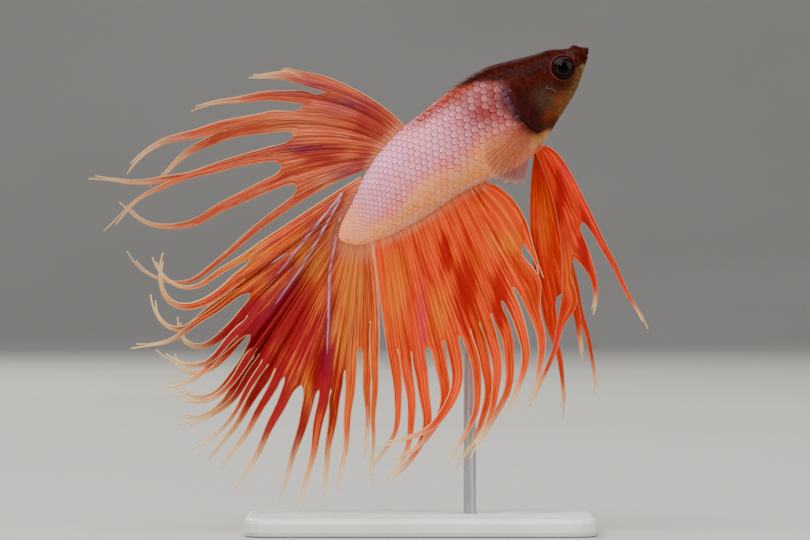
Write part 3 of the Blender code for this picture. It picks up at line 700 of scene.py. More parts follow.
def ray_line(ray, root, waviness, lean_power):
    """A ray's places and the directions across it, one for each row."""
    s = np.linspace(0, 1, STEPS + 1)
    bend = ray.bend * (1 - (1 - s) ** ray.haste)
    curl = ray.curl * ease((s - ray.curl_from) / (1 - ray.curl_from))
    wave = waviness * ease((s - 0.3) / 0.4)
    ripple = wave * np.sin(2 * math.pi * (s * ray.length / RIPPLE[1] + ray.root))
    heading = np.radians(ray.launch + bend + curl + RIPPLE[0] * ripple)
    stride = ray.length / STEPS
    x = root[0] + stride * (np.cumsum(np.cos(heading)) - np.cos(heading))
    z = root[2] + stride * (np.cumsum(np.sin(heading)) - np.sin(heading))
    sway = SWAY[0] * wave * np.cos(2 * math.pi * (s * ray.length / SWAY[1] + 2 * ray.root))
    y = root[1] + ray.lean * s ** lean_power + sway
    across = np.stack((np.sin(heading), 0 * s, -np.cos(heading)), 1)
    return np.stack((x, y, z), 1), across


def strand_half(q, strand):
    """Half width of a free strand at q of the way from the membrane to its tip."""
    return STRAND_TIP + (strand - STRAND_TIP) * (1 - q)


# a fin's rays, root and way in; its columns of cells, the depth of its pleats, half a strand's
# width, the width outside its first and last rays, where its rays fork and how far their prongs
# spread, how wavy they are, how late they lean, and how sharp its notches are
Fin = namedtuple("Fin", "rays root_of inward cells pleat strand edges fork spread waviness"
                 " lean_power sharp",
                 defaults=(0.22, 0.8, (EDGE, EDGE), (0.84, 0.93), (0.15, 0.45), 1.0, 1.6, 0.6))


def shared_edge(fin, lines, i, side):
    """The edge that a ray shares with its neighbour, then its own strand's, and the web's end."""
    ray, beside = fin.rays[i], fin.rays[i + side]
    places, across = lines[i]
    rows = np.arange(STEPS + 1)
    last = int(round(fin.rays[min(i, i + side)].web * RAY_ROWS)) * (STEPS // RAY_ROWS)
    edge = 0.5 * (places + lines[i + side][0])
    edge[0] = fin.root_of(0.5 * (ray.root + beside.root))
    edge[:, 1] -= fin.pleat * ease(rows / STEPS / 0.12)
    reach = edge[last] - places[last]
    apart = np.linalg.norm(reach)
    half = strand_half(np.clip((rows - last) / (STEPS - last), 0, 1), min(fin.strand, apart))
    gap = max(apart - fin.strand, 0.0)
    run = (rows - last) * (ray.length / STEPS)
    run = np.clip(run / ((1.2 + fin.sharp) * gap + 0.9), 0, 1)
    notch = ((1 - fin.sharp) * (1 - np.sqrt(1 - (1 - run) ** 2)) + fin.sharp * (1 - run) ** 2.4)
    half = half + np.maximum(apart - half, 0) * notch
    turn = ease((rows - last) / 10.0)[:, None]
    way = reach / apart * (1 - turn) - across * side * turn
    way /= np.linalg.norm(way, axis=1, keepdims=True)
    free = rows > last
    edge[free] = (places + way * half[:, None])[free]
    return edge, last


def prong(line, side, fork, start, spread, stretch, inner):
    """One side of a ray past its fork: its places, and how far they are from its rim."""
    rows = np.arange(STEPS + 1)
    f = np.clip((rows - fork) / (STEPS - fork), 0, 1)[:, None]
    offset = start * (1 - f) + spread * f ** 1.3
    thin = start * (1 - f) ** 0.8 + PRONG_TIP * f
    there = fork + (rows - fork) * stretch
    middle, ways = (np.stack([np.interp(there, rows, part) for part in values.T], 1)
                    for values in line)
    off = offset + thin * (2 * inner - 1)
    places = middle[:, None] - (ways * side)[:, None] * off[..., None]
    return places, thin * (1 - np.abs(2 * inner - 1))


def sheet_quads(shape, forked, parted):
    """The places that are used, and quads on them; halves and neighbours share some places.

    A ray's halves share their middle up to its row in forked, and a ray shares its edge with the
    next one up to its row in parted.
    """
    number = np.arange(np.prod(shape)).reshape(shape)
    for i in range(shape[0]):
        number[i, 1, :forked[i], 0] = number[i, 0, :forked[i], 0]
        if i + 1 < shape[0]:
            number[i + 1, 0, :parted[i], -1] = number[i, 1, :parted[i], -1]
    quads = []
    for h in (0, 1):
        n = number[:, h]
        a, b, c, d = n[:, :-1, :-1], n[:, 1:, :-1], n[:, 1:, 1:], n[:, :-1, 1:]
        quads.append(np.stack((a, b, c, d) if h else (a, d, c, b), -1).reshape(-1, 4))
    used, quads = np.unique(np.concatenate(quads), return_inverse=True)
    return used, quads.reshape(-1, 4)


def fin_sheet(fin):
    """The fin as one sheet: points, quads, and the marks at its points.

    Each ray has two halves, which part into prongs past the fork, and neighbours share their
    edges as far as the membrane goes. Arrays run over ray, half, row and column.
    """
    count = len(fin.rays)
    rows = np.arange(STEPS + 1)
    s = rows / STEPS
    inner = np.linspace(0, 1, fin.cells + 1)      # from the ray's middle to the strip's edge
    wave = 0.5 - 0.5 * np.cos(math.pi * inner)
    lines = [ray_line(ray, fin.root_of(ray.root), fin.waviness, fin.lean_power)
             for ray in fin.rays]
    points = np.zeros((count, 2, STEPS + 1, fin.cells + 1, 3))
    rim = np.zeros(points.shape[:-1])
    web_rows = np.zeros((count, 2), int)
    forks = (random.uniform(*fin.fork, count) * STEPS).astype(int)
    spreads = random.uniform(*fin.spread, (count, 2))
    short = random.integers(0, 2, count)
    for i, ray in enumerate(fin.rays):
        places, across = lines[i]
        for h, side in enumerate((-1, 1)):
            if 0 <= i + side < count:
                edge, last = shared_edge(fin, lines, i, side)
                before = np.maximum(last - rows, 0) * (ray.length / STEPS)
            else:
                half = STRAND_TIP + (fin.edges[h] - STRAND_TIP) * fall(s, 0.2, 0.8)
                edge, last = places - across * side * half[:, None], -1
                before = 0 * rows
            web_rows[i, h] = last
            away = edge - places
            width = np.linalg.norm(away, axis=1)[:, None]
            sheet = places[:, None] + away[:, None] * inner[:, None]
            sheet[..., 1] = places[:, 1:2] + away[:, 1:2] * wave
            tips, tip_rim = prong(lines[i], side, forks[i], 0.5 * width[forks[i]],
                                  spreads[i, h], 0.72 if short[i] == h else 1.0, inner)
            past = (rows > forks[i])[:, None]
            points[i, h] = np.where(past[..., None], tips, sheet)
            rim[i, h] = np.where(past, tip_rim, np.hypot(before[:, None], width * (1 - inner)))

    whole = np.ones(rim.shape)
    reach = s[:, None] * whole
    lengths = np.array([ray.length for ray in fin.rays])
    marks = {"cross": np.stack((-inner, inner))[:, None] * whole,
             "run": lengths[:, None, None, None] * reach, "reach": reach,
             "lot": random.random((count, 1, 1, 1)) * whole, "rim": rim}

    # the rows that sink into the body, ahead of the first
    inward = np.array([fin.inward(ray.root) for ray in fin.rays])[:, None, None, None, :]
    deep = [points[:, :, :1] + inward * depth for depth in SINK]
    points = np.concatenate(deep + [points], axis=2)
    extra = len(SINK)
    marks = {name: np.concatenate([values[:, :, :1]] * extra + [values], axis=2)
             for name, values in marks.items()}

    used, quads = sheet_quads(points.shape[:-1], forks + extra + 1, web_rows[:, 1] + extra + 1)
    marks = {name: values.ravel()[used] for name, values in marks.items()}
    return points.reshape(-1, 3)[used], quads, marks


def fin_thickness(marks):
    """Thick along the two branches of each ray, thin between them and at the edges."""
    branch = bell(np.abs(marks["cross"]) - 0.5, 0.22)
    taper = 1 - 0.55 * marks["reach"]
    edge = 0.5 + 0.5 * ease(marks["rim"] / 0.15)
    return (MEMBRANE + RIDGE * branch) * taper * edge


def make_fin(name, fin, material, slot, node, shape=None):
    points, quads, marks = fin_sheet(fin)
    add_patches(slot.split("_")[0], points, marks)
    if shape:
        points = shape(points, marks)
    solid, faces = shell(points, quads, fin_thickness(marks))
    marks = {mark: np.tile(values, 2) for mark, values in marks.items()}
    settle(make_piece(name, solid, faces, material, marks), slot, node)


def median_root(v):
    return outline_point(v, GAP)


def median_inward(v):
    into = outline_point(v, -1.0) - outline_point(v, 0.0)
    return into / np.linalg.norm(into)


# where the tail folds over itself: X and Z along each fold
TAIL_FOLDS = (
    ((-9.7, 54.9), (-12.9, 50.4), (-13.4, 48.0), (-14.5, 42.3), (-14.7, 35.9), (-15.0, 26.0)),
    ((-12.9, 53.6), (-16.6, 46.9), (-19.3, 42.3), (-22.2, 38.3), (-27.5, 30.6)),
    ((-12.5, 54.6), (-15.3, 51.2), (-18.5, 47.2), (-21.7, 43.1), (-30.0, 33.4)),
    ((-21.3, 45.0), (-25.3, 42.6), (-30.3, 40.4), (-38.0, 35.5)),
)
# soft patches of colour on each fin: X and Z of the middle, then the reach in X and Z
PATCHES = {
    "caudal": {
        "deep": ((-21.0, 34.0, 5.4, 8.0), (-27.0, 33.0, 8.0, 5.4), (-15.6, 24.6, 2.6, 8.0),
                 (-33.5, 30.3, 7.5, 3.8), (-26.0, 25.5, 7.0, 7.0), (-21.5, 17.0, 5.5, 9.0)),
        "glow": ((-17.7, 44.0, 3.0, 4.0), (-11.3, 39.1, 2.2, 7.0), (-23.3, 39.6, 3.0, 1.6),
                 (-12.9, 31.1, 2.5, 5.0), (-19.0, 22.0, 2.5, 4.0), (-29.0, 45.0, 5.0, 2.0)),
        "violet": ((-16.5, 49.0, 2.0, 2.4), (-20.5, 43.0, 1.4, 1.8)),
    },
    "anal": {
        "deep": ((7.4, 40.0, 1.9, 7.0), (12.9, 37.0, 1.3, 5.5), (4.2, 45.0, 1.1, 4.0)),
        "glow": ((-4.0, 39.1, 2.0, 6.0), (13.5, 46.6, 3.0, 2.5), (3.2, 36.0, 1.5, 4.0)),
        "violet": ((0.3, 34.3, 0.7, 5.5),),
    },
    "dorsal": {
        "deep": ((-8.0, 66.0, 3.0, 3.0), (-16.0, 61.0, 4.0, 1.6), (-9.0, 60.0, 2.0, 2.0)),
        "glow": ((-20.0, 66.0, 6.0, 2.0), (-14.0, 56.0, 3.0, 2.0)),
        "violet": ((-11.0, 57.5, 3.5, 1.6), (-19.0, 71.8, 5.0, 1.4), (-12.0, 69.0, 4.0, 1.6),
                   (-20.0, 62.0, 4.0, 0.8)),
    },
    "pelvic": {
        "deep": ((22.5, 54.0, 0.8, 5.0), (26.5, 47.0, 1.0, 5.0)),
        "glow": ((20.0, 50.0, 1.4, 6.0), (24.0, 42.0, 1.2, 5.0)),
        "violet": ((28.0, 56.0, 1.0, 4.0), (24.0, 60.0, 1.0, 2.0)),
    },
    "pectoral": {"deep": (), "glow": (), "violet": ()},
}
ANAL_FRONT = (19.4, 43.5, 3.0, 4.0)           # where the anal fin is pale only at its tips


def tail_crests(points, marks):
    """How near each point is to a fold's crest, fading out where the strands part."""
    x, z = points[:, 0], points[:, 2]
    fade = ease((0.66 - marks["reach"]) / 0.36)
    return [path_distance(x, z, path) for path in TAIL_FOLDS], fade


def fold_tail(points, marks):
    """Raises the tail's folds on its right side."""
    apart, fade = tail_crests(points, marks)
    points = points.copy()
    points[:, 1] -= 0.4 * sum(bell(near, 0.6) for near in apart) * fade
    return points


def add_patches(name, points, marks):
    """Marks for the soft patches, and for the bands and the painted highlight lines along the tail's
    folds.
    """
    x, z = points[:, 0], points[:, 2]
    for mark, patches in PATCHES[name].items():
        marks[mark] = strongest(np.zeros(len(x)), *(spot(x, z, *patch) for patch in patches))
    if name == "anal":
        marks["reach"] = marks["reach"] * (1 - 0.3 * spot(x, z, *ANAL_FRONT))
    marks["crest"] = np.zeros(len(x))
    if name == "caudal":
        apart, fade = tail_crests(points, marks)
        marks["violet"] = strongest(marks["violet"], *(0.8 * bell(near, 0.9) * fade
                                                       for near in apart))
        # nearness to each fold's crest, for the painted highlight along it
        marks["crest"] = strongest(*((1 - np.clip(near / 0.6, 0, 1)) * fade for near in apart))


def make_fins(paints):
    """All seven fins; the order is also the order of their random draws."""
    dorsal = Fin(DORSAL_RAYS, median_root, median_inward, cells=8, strand=1.2,
                 spread=(0.15, 0.35), sharp=0.0)
    caudal = Fin(CAUDAL_RAYS, median_root, median_inward, cells=5, pleat=0.3, strand=1.05,
                 edges=(EDGE, 0.95))
    anal = Fin(ANAL_RAYS, median_root, median_inward, cells=6, pleat=0.3, strand=1.2,
               edges=(1.0, EDGE))
    make_fin("dorsal_sail", dorsal, paints["dorsal"], "dorsal_web", "dorsal_fin")
    make_fin("caudal_sail", caudal, paints["caudal"], "caudal_web", "caudal_fin", fold_tail)
    make_fin("anal_sail", anal, paints["anal"], "anal_web", "anal_fin")
    for side, sign in SIDES:
        make_pelvic(side, sign, paints["pelvic"])
        make_pectoral(side, sign, paints["pectoral"])


def make_pelvic(side, sign, material):
    """A few long rays under the belly, close behind the gill cover."""
    def root(v):
        t, d = PELVIC_ROOT
        return to_world(t + v, sign * PELVIC_SIDE, d - GAP)

    def inward(v):
        return to_world(0, -0.3 * sign, 1.0) - to_world(0, 0, 0)

    fin = Fin(PELVIC_RAYS[side], root, inward, cells=9, strand=1.1, spread=(0.1, 0.3))
    make_fin("pelvic_sail_" + side, fin, material, "pelvic_web", "pelvic_fin_" + side)


def make_pectoral(side, sign, material):
    """A small thin fan on the flank behind the gill cover."""
    length_at = smooth_curve((0.0, 0.5, 1.0), PECTORAL_LENGTHS)
    heading_at = smooth_curve((0.0, 1.0), PECTORAL_HEADINGS)

    def root(v):
        t, d = (top + (low - top) * v for top, low in zip(*PECTORAL_ROOTS))
        return to_world(t, sign * (surface_y(t, d) + 0.3), d)

    def inward(v):
        return np.array((0.0, -0.6 * sign, 0.0)) + 0.4 * (to_world(1, 0, 0) - to_world(0, 0, 0))

    fan = []
    for i in range(PECTORAL_COUNT):
        v = i / (PECTORAL_COUNT - 1)
        length = float(length_at(v)) * (1 - 0.03 * (i % 2))
        lean = sign * length * math.sin(PECTORAL_SPREAD)
        fan.append(Ray(v, float(heading_at(v)), 0, 0, length * math.cos(PECTORAL_SPREAD), lean,
                       web=0.94))
    fin = Fin(tuple(fan), root, inward, cells=3, pleat=0.07, strand=0.2, edges=(0.2, 0.2),
              fork=(0.96, 0.98), spread=(0.05, 0.1), waviness=0.3, lean_power=1.0)
    make_fin("pectoral_sail_" + side, fin, material, "pectoral_web", "pectoral_fin_" + side)


# ---- materials ----

def paint(red, green, blue):
    """A colour from its everyday 0 to 255 values."""
    def linear(value):
        value /= 255
        return value / 12.92 if value <= 0.04045 else ((value + 0.055) / 1.055) ** 2.4
    return (linear(red), linear(green), linear(blue), 1.0)


class Wiring:
    """Short ways to add nodes to a material or a group; a value may be a number or a socket."""

    def __init__(self, tree):
        self.tree = tree

    def add(self, kind, values=(), **settings):
        made = self.tree.nodes.new("ShaderNode" + kind)
        for name, setting in settings.items():
            setattr(made, name, setting)
        for socket, value in dict(values).items():
            self.feed(made.inputs[socket], value)
        return made

    def feed(self, socket, value):
        if isinstance(value, bpy.types.NodeSocket):
            self.tree.links.new(value, socket)
        else:
            socket.default_value = value

    def mark(self, name):
        return self.add("Attribute", attribute_name=name).outputs["Fac"]


    def math(self, operation, a, b=0.0, clamp=False):
        return self.add("Math", {0: a, 1: b}, operation=operation, use_clamp=clamp).outputs[0]

    def times(self, a, b, clamp=False):
        return self.math("MULTIPLY", a, b, clamp)

    def plus(self, a, b, clamp=False):
        return self.math("ADD", a, b, clamp)

    def less(self, a, b, clamp=False):
        return self.math("SUBTRACT", a, b, clamp)

    def larger(self, a, b):
        return self.math("MAXIMUM", a, b)

    def mix(self, amount, a, b, how="MIX"):
        made = self.add("Mix", {0: amount, 6: a, 7: b}, data_type="RGBA", blend_type=how,
                        clamp_factor=True)
        return made.outputs[2]

    def remap(self, value, low, high, to_low=0.0, to_high=1.0, smooth=True):
        made = self.add("MapRange", {"Value": value, "From Min": low, "From Max": high,
                                     "To Min": to_low, "To Max": to_high},
                        interpolation_type="SMOOTHSTEP" if smooth else "LINEAR")
        return made.outputs[0]

    def noise(self, place, scale, detail=2.0, rough=0.5):
        made = self.add("TexNoise", {"Vector": place, "Scale": scale, "Detail": detail,
                                     "Roughness": rough})
        return made.outputs["Fac"]

    def object_place(self):
        return self.add("TexCoord").outputs["Object"]

    def bump(self, shader, height, strength, millimetres):
        made = self.add("Bump", {"Height": height, "Strength": strength,
                                 "Distance": millimetres * MM})
        self.feed(shader.inputs["Normal"], made.outputs[0])
        return made.outputs[0]

    def fill(self, shader, values):
        for socket, value in values.items():
            self.feed(shader.inputs[socket], value)


def node_group(name, inputs, outputs):
    """An empty node group with these sockets; returns it, its wiring, and its two ends."""
    group = bpy.data.node_groups.new(name, "ShaderNodeTree")
    for title, value in inputs.items():
        socket = group.interface.new_socket(title, in_out="INPUT", socket_type="NodeSocketFloat")
        socket.default_value = value
    for title, kind in outputs.items():
        group.interface.new_socket(title, in_out="OUTPUT", socket_type="NodeSocket" + kind)
    ends = group.nodes.new("NodeGroupInput"), group.nodes.new("NodeGroupOutput")
    return group, Wiring(group), ends[0].outputs, ends[1].inputs


def place_group(wiring, group, values):
    made = wiring.tree.nodes.new("ShaderNodeGroup")
    made.node_tree = group
    wiring.fill(made, values)
    return made.outputs


def new_material(name):
    material = bpy.data.materials.new(name)
    material.use_nodes = True
    return material, Wiring(material.node_tree), material.node_tree.nodes["Principled BSDF"]


FLESH = {
    "flank": paint(232, 120, 122),
    "rose": paint(142, 56, 58),
    "lilac": paint(238, 154, 190),
    "peach": paint(250, 154, 80),
    "ember": paint(160, 70, 30),
    "rust": paint(140, 50, 22),
    "crown": paint(40, 4, 1),
    "cheek": paint(40, 11, 5),
    "plate": paint(70, 50, 40),
    # the gold spots, and the painted rim highlight under the jaw
    "gold_and_rim_highlight": paint(200, 158, 94),
    "shade_and_dark_lips": paint(36, 12, 16),
    # painted shade, and the dark edges of the lips
    "bloom": paint(132, 108, 138),
    "pale": paint(180, 140, 136),
    "fleck": paint(70, 18, 14),
    "ruddy": paint(92, 22, 6),
    "olive": paint(146, 112, 62),
}
BLENDED = ("rose", "lilac", "peach", "rust", "crown", "cheek", "plate", "ember", "gold_and_rim_highlight", "shade_and_dark_lips",
           "bloom", "pale")
SPECKLED = ("rust", "plate", "ember", "gold_and_rim_highlight")


def make_flesh_group():
    """The body's colour from its markings, with mottles at several sizes."""
    group, w, entry, leave = node_group("flesh_colour", {"Mottle": 0.35, "Fleck": 0.25},
                                        {"Color": "Color", "Gleam": "Float"})
    place = w.object_place()
    broad = w.noise(place, 420.0, 3.0)
    fine = w.noise(place, 2600.0, 3.0, 0.6)
    sway = w.times(w.times(w.less(broad, 0.5), entry["Mottle"]), 4.0)
    color = FLESH["flank"]
    for name in BLENDED:
        mark = w.mark(name)
        edge = w.times(mark, w.less(1.0, mark))
        share = w.plus(mark, w.times(sway, edge), clamp=True)
        if name in SPECKLED:
            share = w.times(share, w.remap(fine, 0.36, 0.62, 0.5, 1.15), clamp=True)
        color = w.mix(share, color, FLESH[name])
    fleck = w.times(w.remap(fine, 0.52, 0.72), entry["Fleck"])
    color = w.mix(fleck, color, FLESH["fleck"])
    bare = w.less(w.mark("crown"), w.mark("plate"), clamp=True)
    ruddy = w.times(w.remap(w.noise(place, 1300.0, 5.0, 0.65), 0.38, 0.74), bare)
    color = w.mix(w.times(ruddy, 0.4), color, FLESH["ruddy"])
    speck = w.remap(w.noise(place, 5200.0, 3.0, 0.6), 0.42, 0.62, 0.12, 0.7)
    color = w.mix(w.times(speck, w.mark("olive")), color, FLESH["olive"])
    w.feed(leave["Color"], color)
    dull = w.larger(w.larger(w.mark("crown"), w.mark("shade_and_dark_lips")), w.times(w.mark("rust"), 0.9))
    w.feed(leave["Gleam"], w.less(1.0, dull, clamp=True))
    return group


def make_ray_group():
    """Fine rays along a fin: branches across each strip, and the joints along them."""
    group, w, entry, leave = node_group(
        "fin_rays", {"Branches": 4.0, "Wander": 0.0, "Joints": 0.27, "Joint fade": 12.0},
        {"Ray": "Float", "Bead": "Float", "Valley": "Float"})
    phase = w.times(w.mark("cross"), w.times(entry["Branches"], math.pi))
    wave = w.math("COSINE", w.plus(phase, entry["Wander"]))
    ray = w.remap(w.times(wave, -1.0), 0.1, 0.95)
    run = w.mark("run")
    joint = w.math("SINE", w.math("DIVIDE", w.times(run, 2 * math.pi), entry["Joints"]))
    near = w.less(1.0, w.math("DIVIDE", run, entry["Joint fade"]), clamp=True)
    w.feed(leave["Ray"], ray)
    w.feed(leave["Bead"], w.times(w.times(w.remap(joint, -0.4, 0.8), ray), near))
    w.feed(leave["Valley"], w.less(1.0, ray))
    return group


# a fin's colours; its rays in each strip, how much light comes through, where its tips turn pale,
# how far its joints show, how pale its edges are, and how solid its web looks
FinPaint = namedtuple("FinPaint", "web deep glow ray tip violet branches clear pale_from joints"
                      " edge veil", defaults=(1.0,))
FIN_PAINTS = {
    "dorsal": FinPaint(paint(220, 98, 52), paint(166, 46, 38), paint(236, 148, 96),
                       paint(236, 170, 130), paint(232, 196, 146), paint(116, 34, 84), 6.0,
                       0.4, 0.68, 6.0, 0.7),
    "caudal": FinPaint(paint(236, 94, 14), paint(162, 4, 36), paint(248, 158, 50),
                       paint(250, 176, 84), paint(252, 226, 164), paint(122, 14, 70), 4.0,
                       0.4, 0.72, 14.0, 0.85),
    "anal": FinPaint(paint(252, 82, 0), paint(184, 4, 6), paint(252, 138, 12),
                     paint(250, 142, 54), paint(252, 226, 168), paint(206, 44, 90), 4.0,
                     0.4, 0.76, 6.0, 0.65),
    "pelvic": FinPaint(paint(232, 50, 4), paint(176, 4, 8), paint(246, 110, 16),
                       paint(246, 112, 44), paint(244, 208, 150), paint(204, 30, 76), 5.0,
                       0.4, 0.84, 2.0, 0.3),
    "pectoral": FinPaint(paint(160, 68, 52), paint(120, 40, 32), paint(180, 92, 66),
                         paint(120, 34, 26), paint(206, 136, 104), paint(210, 150, 160), 1.0,
                         0.45, 0.9, 1.0, 0.0, 0.2),
}
ROOT_PALE = paint(242, 184, 140)
# painted highlight along the tail's folds
FOLD_HIGHLIGHT = paint(222, 184, 212)


def make_fin_material(name, colors, rays):
    """A streaked membrane with soft patches, fine rays, painted highlights along the folds and pale
    tips.
    """
    material, w, shader = new_material(name)
    place = w.object_place()
    run, cross, reach, lot, rim = (w.mark(m) for m in ("run", "cross", "reach", "lot", "rim"))

    def streaks(across, along):
        spread = w.add("CombineXYZ", {0: w.times(cross, across), 1: w.times(run, along),
                                      2: w.times(lot, 40.0)})
        return w.noise(spread.outputs[0], 1.0, 3.0, 0.6)

    long_streak, short_streak = streaks(2.6, 0.08), streaks(6.0, 0.4)
    drawn = w.less(long_streak, 0.5)

    def patch(mark, scale, strength):
        cloud = w.times(w.less(w.noise(place, scale, 3.0, 0.6), 0.5), 0.45)
        wide = w.plus(w.mark(mark), w.plus(cloud, w.times(drawn, 2.4)))
        return w.times(w.remap(wide, 0.08, 0.68), strength)

    fine = place_group(w, rays, {"Branches": colors.branches, "Wander": w.times(drawn, 7.0),
                                 "Joint fade": colors.joints})
    color = w.mix(patch("glow", 170.0, 0.85), colors.web, colors.glow)
    color = w.mix(w.times(w.remap(long_streak, 0.44, 0.62), 0.7), color, colors.deep)
    color = w.mix(w.times(w.remap(short_streak, 0.5, 0.7), 0.35), color, colors.glow)
    ray = w.times(fine["Ray"], w.remap(short_streak, 0.3, 0.7, 0.05, 0.5))
    color = w.mix(ray, color, colors.ray)
    color = w.mix(patch("deep", 210.0, 0.9), color, colors.deep)
    color = w.mix(w.times(fine["Bead"], 0.5), color, colors.ray)
    if colors.joints > 1.0:
        rooted = w.times(w.remap(run, 0.25 * colors.joints, 0.0),
                         w.remap(short_streak, 0.32, 0.6))
        color = w.mix(w.times(rooted, 0.6), color, ROOT_PALE)
    valley = w.times(w.remap(fine["Valley"], 0.75, 1.0), 0.28)
    color = w.mix(valley, color, colors.deep)
    violet = w.times(w.mark("violet"), w.remap(short_streak, 0.25, 0.6, 1.0, 0.45))
    color = w.mix(violet, color, colors.violet)
    # painted highlight along the crests of the tail's folds
    glint = w.times(w.remap(w.mark("crest"), 0.64, 0.88),
                    w.remap(w.noise(place, 60.0, 1.0), 0.3, 0.6, 0.35, 0.75))
    color = w.mix(glint, color, FOLD_HIGHLIGHT)
    farther = w.times(w.less(short_streak, 0.5), 0.22)
    tipped = w.remap(w.plus(reach, farther), colors.pale_from, 0.96, 0.0, 0.95)
    seam = w.times(w.remap(rim, 0.19, 0.05), colors.edge)
    color = w.mix(w.larger(tipped, seam), color, colors.tip)

    w.fill(shader, {"Base Color": color, "Roughness": 0.42, "Specular IOR Level": 0.15})
    height = w.plus(fine["Ray"], w.times(fine["Bead"], 0.6))
    height = w.plus(height, w.times(short_streak, 1.2))
    normal = w.bump(shader, height, 0.5, 0.12)
    if colors.veil < 1:
        shown = w.times(w.remap(fine["Ray"], 0.5, 1.0, colors.veil, 0.85),
                        w.remap(reach, 0.7, 1.0, 1.0, 0.45))
        w.feed(shader.inputs["Alpha"], shown)
        return material
    through = w.add("BsdfTranslucent", {"Color": color, "Normal": normal})
    mixed = w.add("MixShader", {0: colors.clear, 1: shader.outputs[0], 2: through.outputs[0]})
    output = material.node_tree.nodes["Material Output"]
    w.feed(output.inputs["Surface"], mixed.outputs[0])
    return material


def make_skin_material(flesh):
    material, w, shader = new_material("betta_skin")
    body = place_group(w, flesh, {"Mottle": 0.5, "Fleck": 0.3})
    place = w.object_place()
    grain = w.add("TexVoronoi", {"Vector": place, "Scale": 1900.0}).outputs["Distance"]
    w.bump(shader, w.plus(w.times(grain, 0.8), w.noise(place, 1500.0, 3.0)), 0.35, 0.09)
    w.fill(shader, {
        "Base Color": body["Color"],
        "Roughness": w.remap(w.noise(place, 900.0), 0.3, 0.7, 0.42, 0.60),
        "Coat Weight": w.remap(body["Gleam"], 0.0, 1.0, 0.022, 0.09),
        "Coat Roughness": 0.12,
        "Specular IOR Level": 0.02,
    })
    return material


def make_scale_material(flesh):
    """Scales with a dark net between them, painted shade over their covered parts, and a painted
    highlight along the rear edge where the flank is silvery.
    """
    material, w, shader = new_material("betta_scales")
    body = place_group(w, flesh, {"Mottle": 0.4, "Fleck": 0.2})
    x, chance = w.mark("lengthwise"), w.mark("chance")
    y = w.math("ABSOLUTE", w.mark("crosswise"))
    off = w.plus(w.math("POWER", w.larger(x, 0.0), SCALE_ROUND), w.math("POWER", y, SCALE_ROUND))
    # a painted highlight along each scale's rear edge, near white where the flank is silvery
    rear_highlight = w.times(w.remap(off, 0.42, 0.56), w.remap(off, 0.84, 0.74))
    rear_highlight = w.times(rear_highlight, w.remap(y, 0.55, 0.3))
    rear_highlight = w.times(rear_highlight, w.remap(chance, 0.0, 1.0, 0.5, 1.0, False))
    smooth = w.less(1.0, w.times(w.mark("peach"), 0.85), True)
    silvery = w.times(w.plus(w.mark("lilac"), 0.10, True), smooth)
    silvery = w.times(silvery, body["Gleam"])
    lighter = w.times(w.times(chance, 0.14), body["Gleam"])
    color = w.mix(lighter, body["Color"], paint(240, 205, 210))
    color = w.mix(w.times(rear_highlight, silvery), color, paint(255, 242, 252))
    net = w.times(w.remap(off, 0.78, 0.90), w.remap(smooth, 0.1, 1.0, 0.3, 0.9))
    # painted shade over the front of each scale, where the scale ahead covers it; the net between the
    # scales is their own dark colour
    covered_shade = w.times(w.remap(x, 0.15, -0.45), w.remap(smooth, 0.1, 1.0, 0.15, 0.5))
    color = w.mix(w.larger(net, covered_shade), color, paint(136, 48, 62), "MULTIPLY")
    rings = w.math("SINE", w.times(w.math("SQRT", off), 34.0))
    height = w.plus(w.times(rings, 0.25), w.noise(w.object_place(), 2200.0, 2.0))
    w.bump(shader, height, 0.2, 0.04)
    w.fill(shader, {
        "Base Color": color,
        "Metallic": w.times(silvery, 0.15),
        "Roughness": w.remap(chance, 0.0, 1.0, 0.40, 0.56, False),
        "Coat Weight": w.remap(body["Gleam"], 0.0, 1.0, 0.022, 0.10),
        "Coat Roughness": 0.12,
        "Specular IOR Level": 0.02,
    })
    return material


def make_eye_material():
    """A black pupil, a dark purple-brown iris with a thin brassy edge, under a clear gloss."""
    material, w, shader = new_material("betta_eye")
    off = w.mark("off_axis")
    wisps = w.noise(w.object_place(), 1500.0, 4.0, 0.7)
    iris = w.mix(w.remap(wisps, 0.35, 0.7), paint(6, 3, 5), paint(24, 11, 13))
    color = w.mix(w.remap(off, 0.96, 1.04), paint(3, 3, 4), iris)
    brass = w.times(w.remap(off, 0.99, 1.04), w.remap(off, 1.12, 1.05))
    color = w.mix(w.times(brass, 0.13), color, paint(150, 110, 70))
    color = w.mix(w.remap(off, 1.45, 1.75), color, paint(44, 14, 14))
    w.fill(shader, {"Base Color": color, "Roughness": 0.5, "Specular IOR Level": 0.0,
                      "Coat Weight": 0.13, "Coat Roughness": 0.03})
    return material


def make_base_material():
    material, w, shader = new_material("stand_base_finish")
    place = w.object_place()
    cloud = w.remap(w.noise(place, 60.0, 4.0, 0.6), 0.35, 0.7)
    w.fill(shader, {
        "Base Color": w.mix(cloud, paint(214, 212, 206), paint(228, 226, 221)),
        "Roughness": w.remap(w.noise(place, 240.0, 3.0), 0.3, 0.7, 0.28, 0.42),
    })
    w.bump(shader, w.noise(place, 1400.0, 3.0), 0.12, 0.05)
    return material


def make_rod_material():
    material, w, shader = new_material("stand_rod_finish")
    place = w.add("Mapping", {"Vector": w.object_place(), "Scale": (1.0, 1.0, 0.05)}).outputs[0]
    brushed = w.noise(place, 2600.0, 3.0)
    w.fill(shader, {
        "Base Color": w.mix(brushed, paint(172, 172, 174), paint(206, 206, 208)),
        "Metallic": 1.0,
        "Roughness": w.remap(brushed, 0.3, 0.7, 0.22, 0.4),
    })
    return material


# ---- the stand and the studio ----

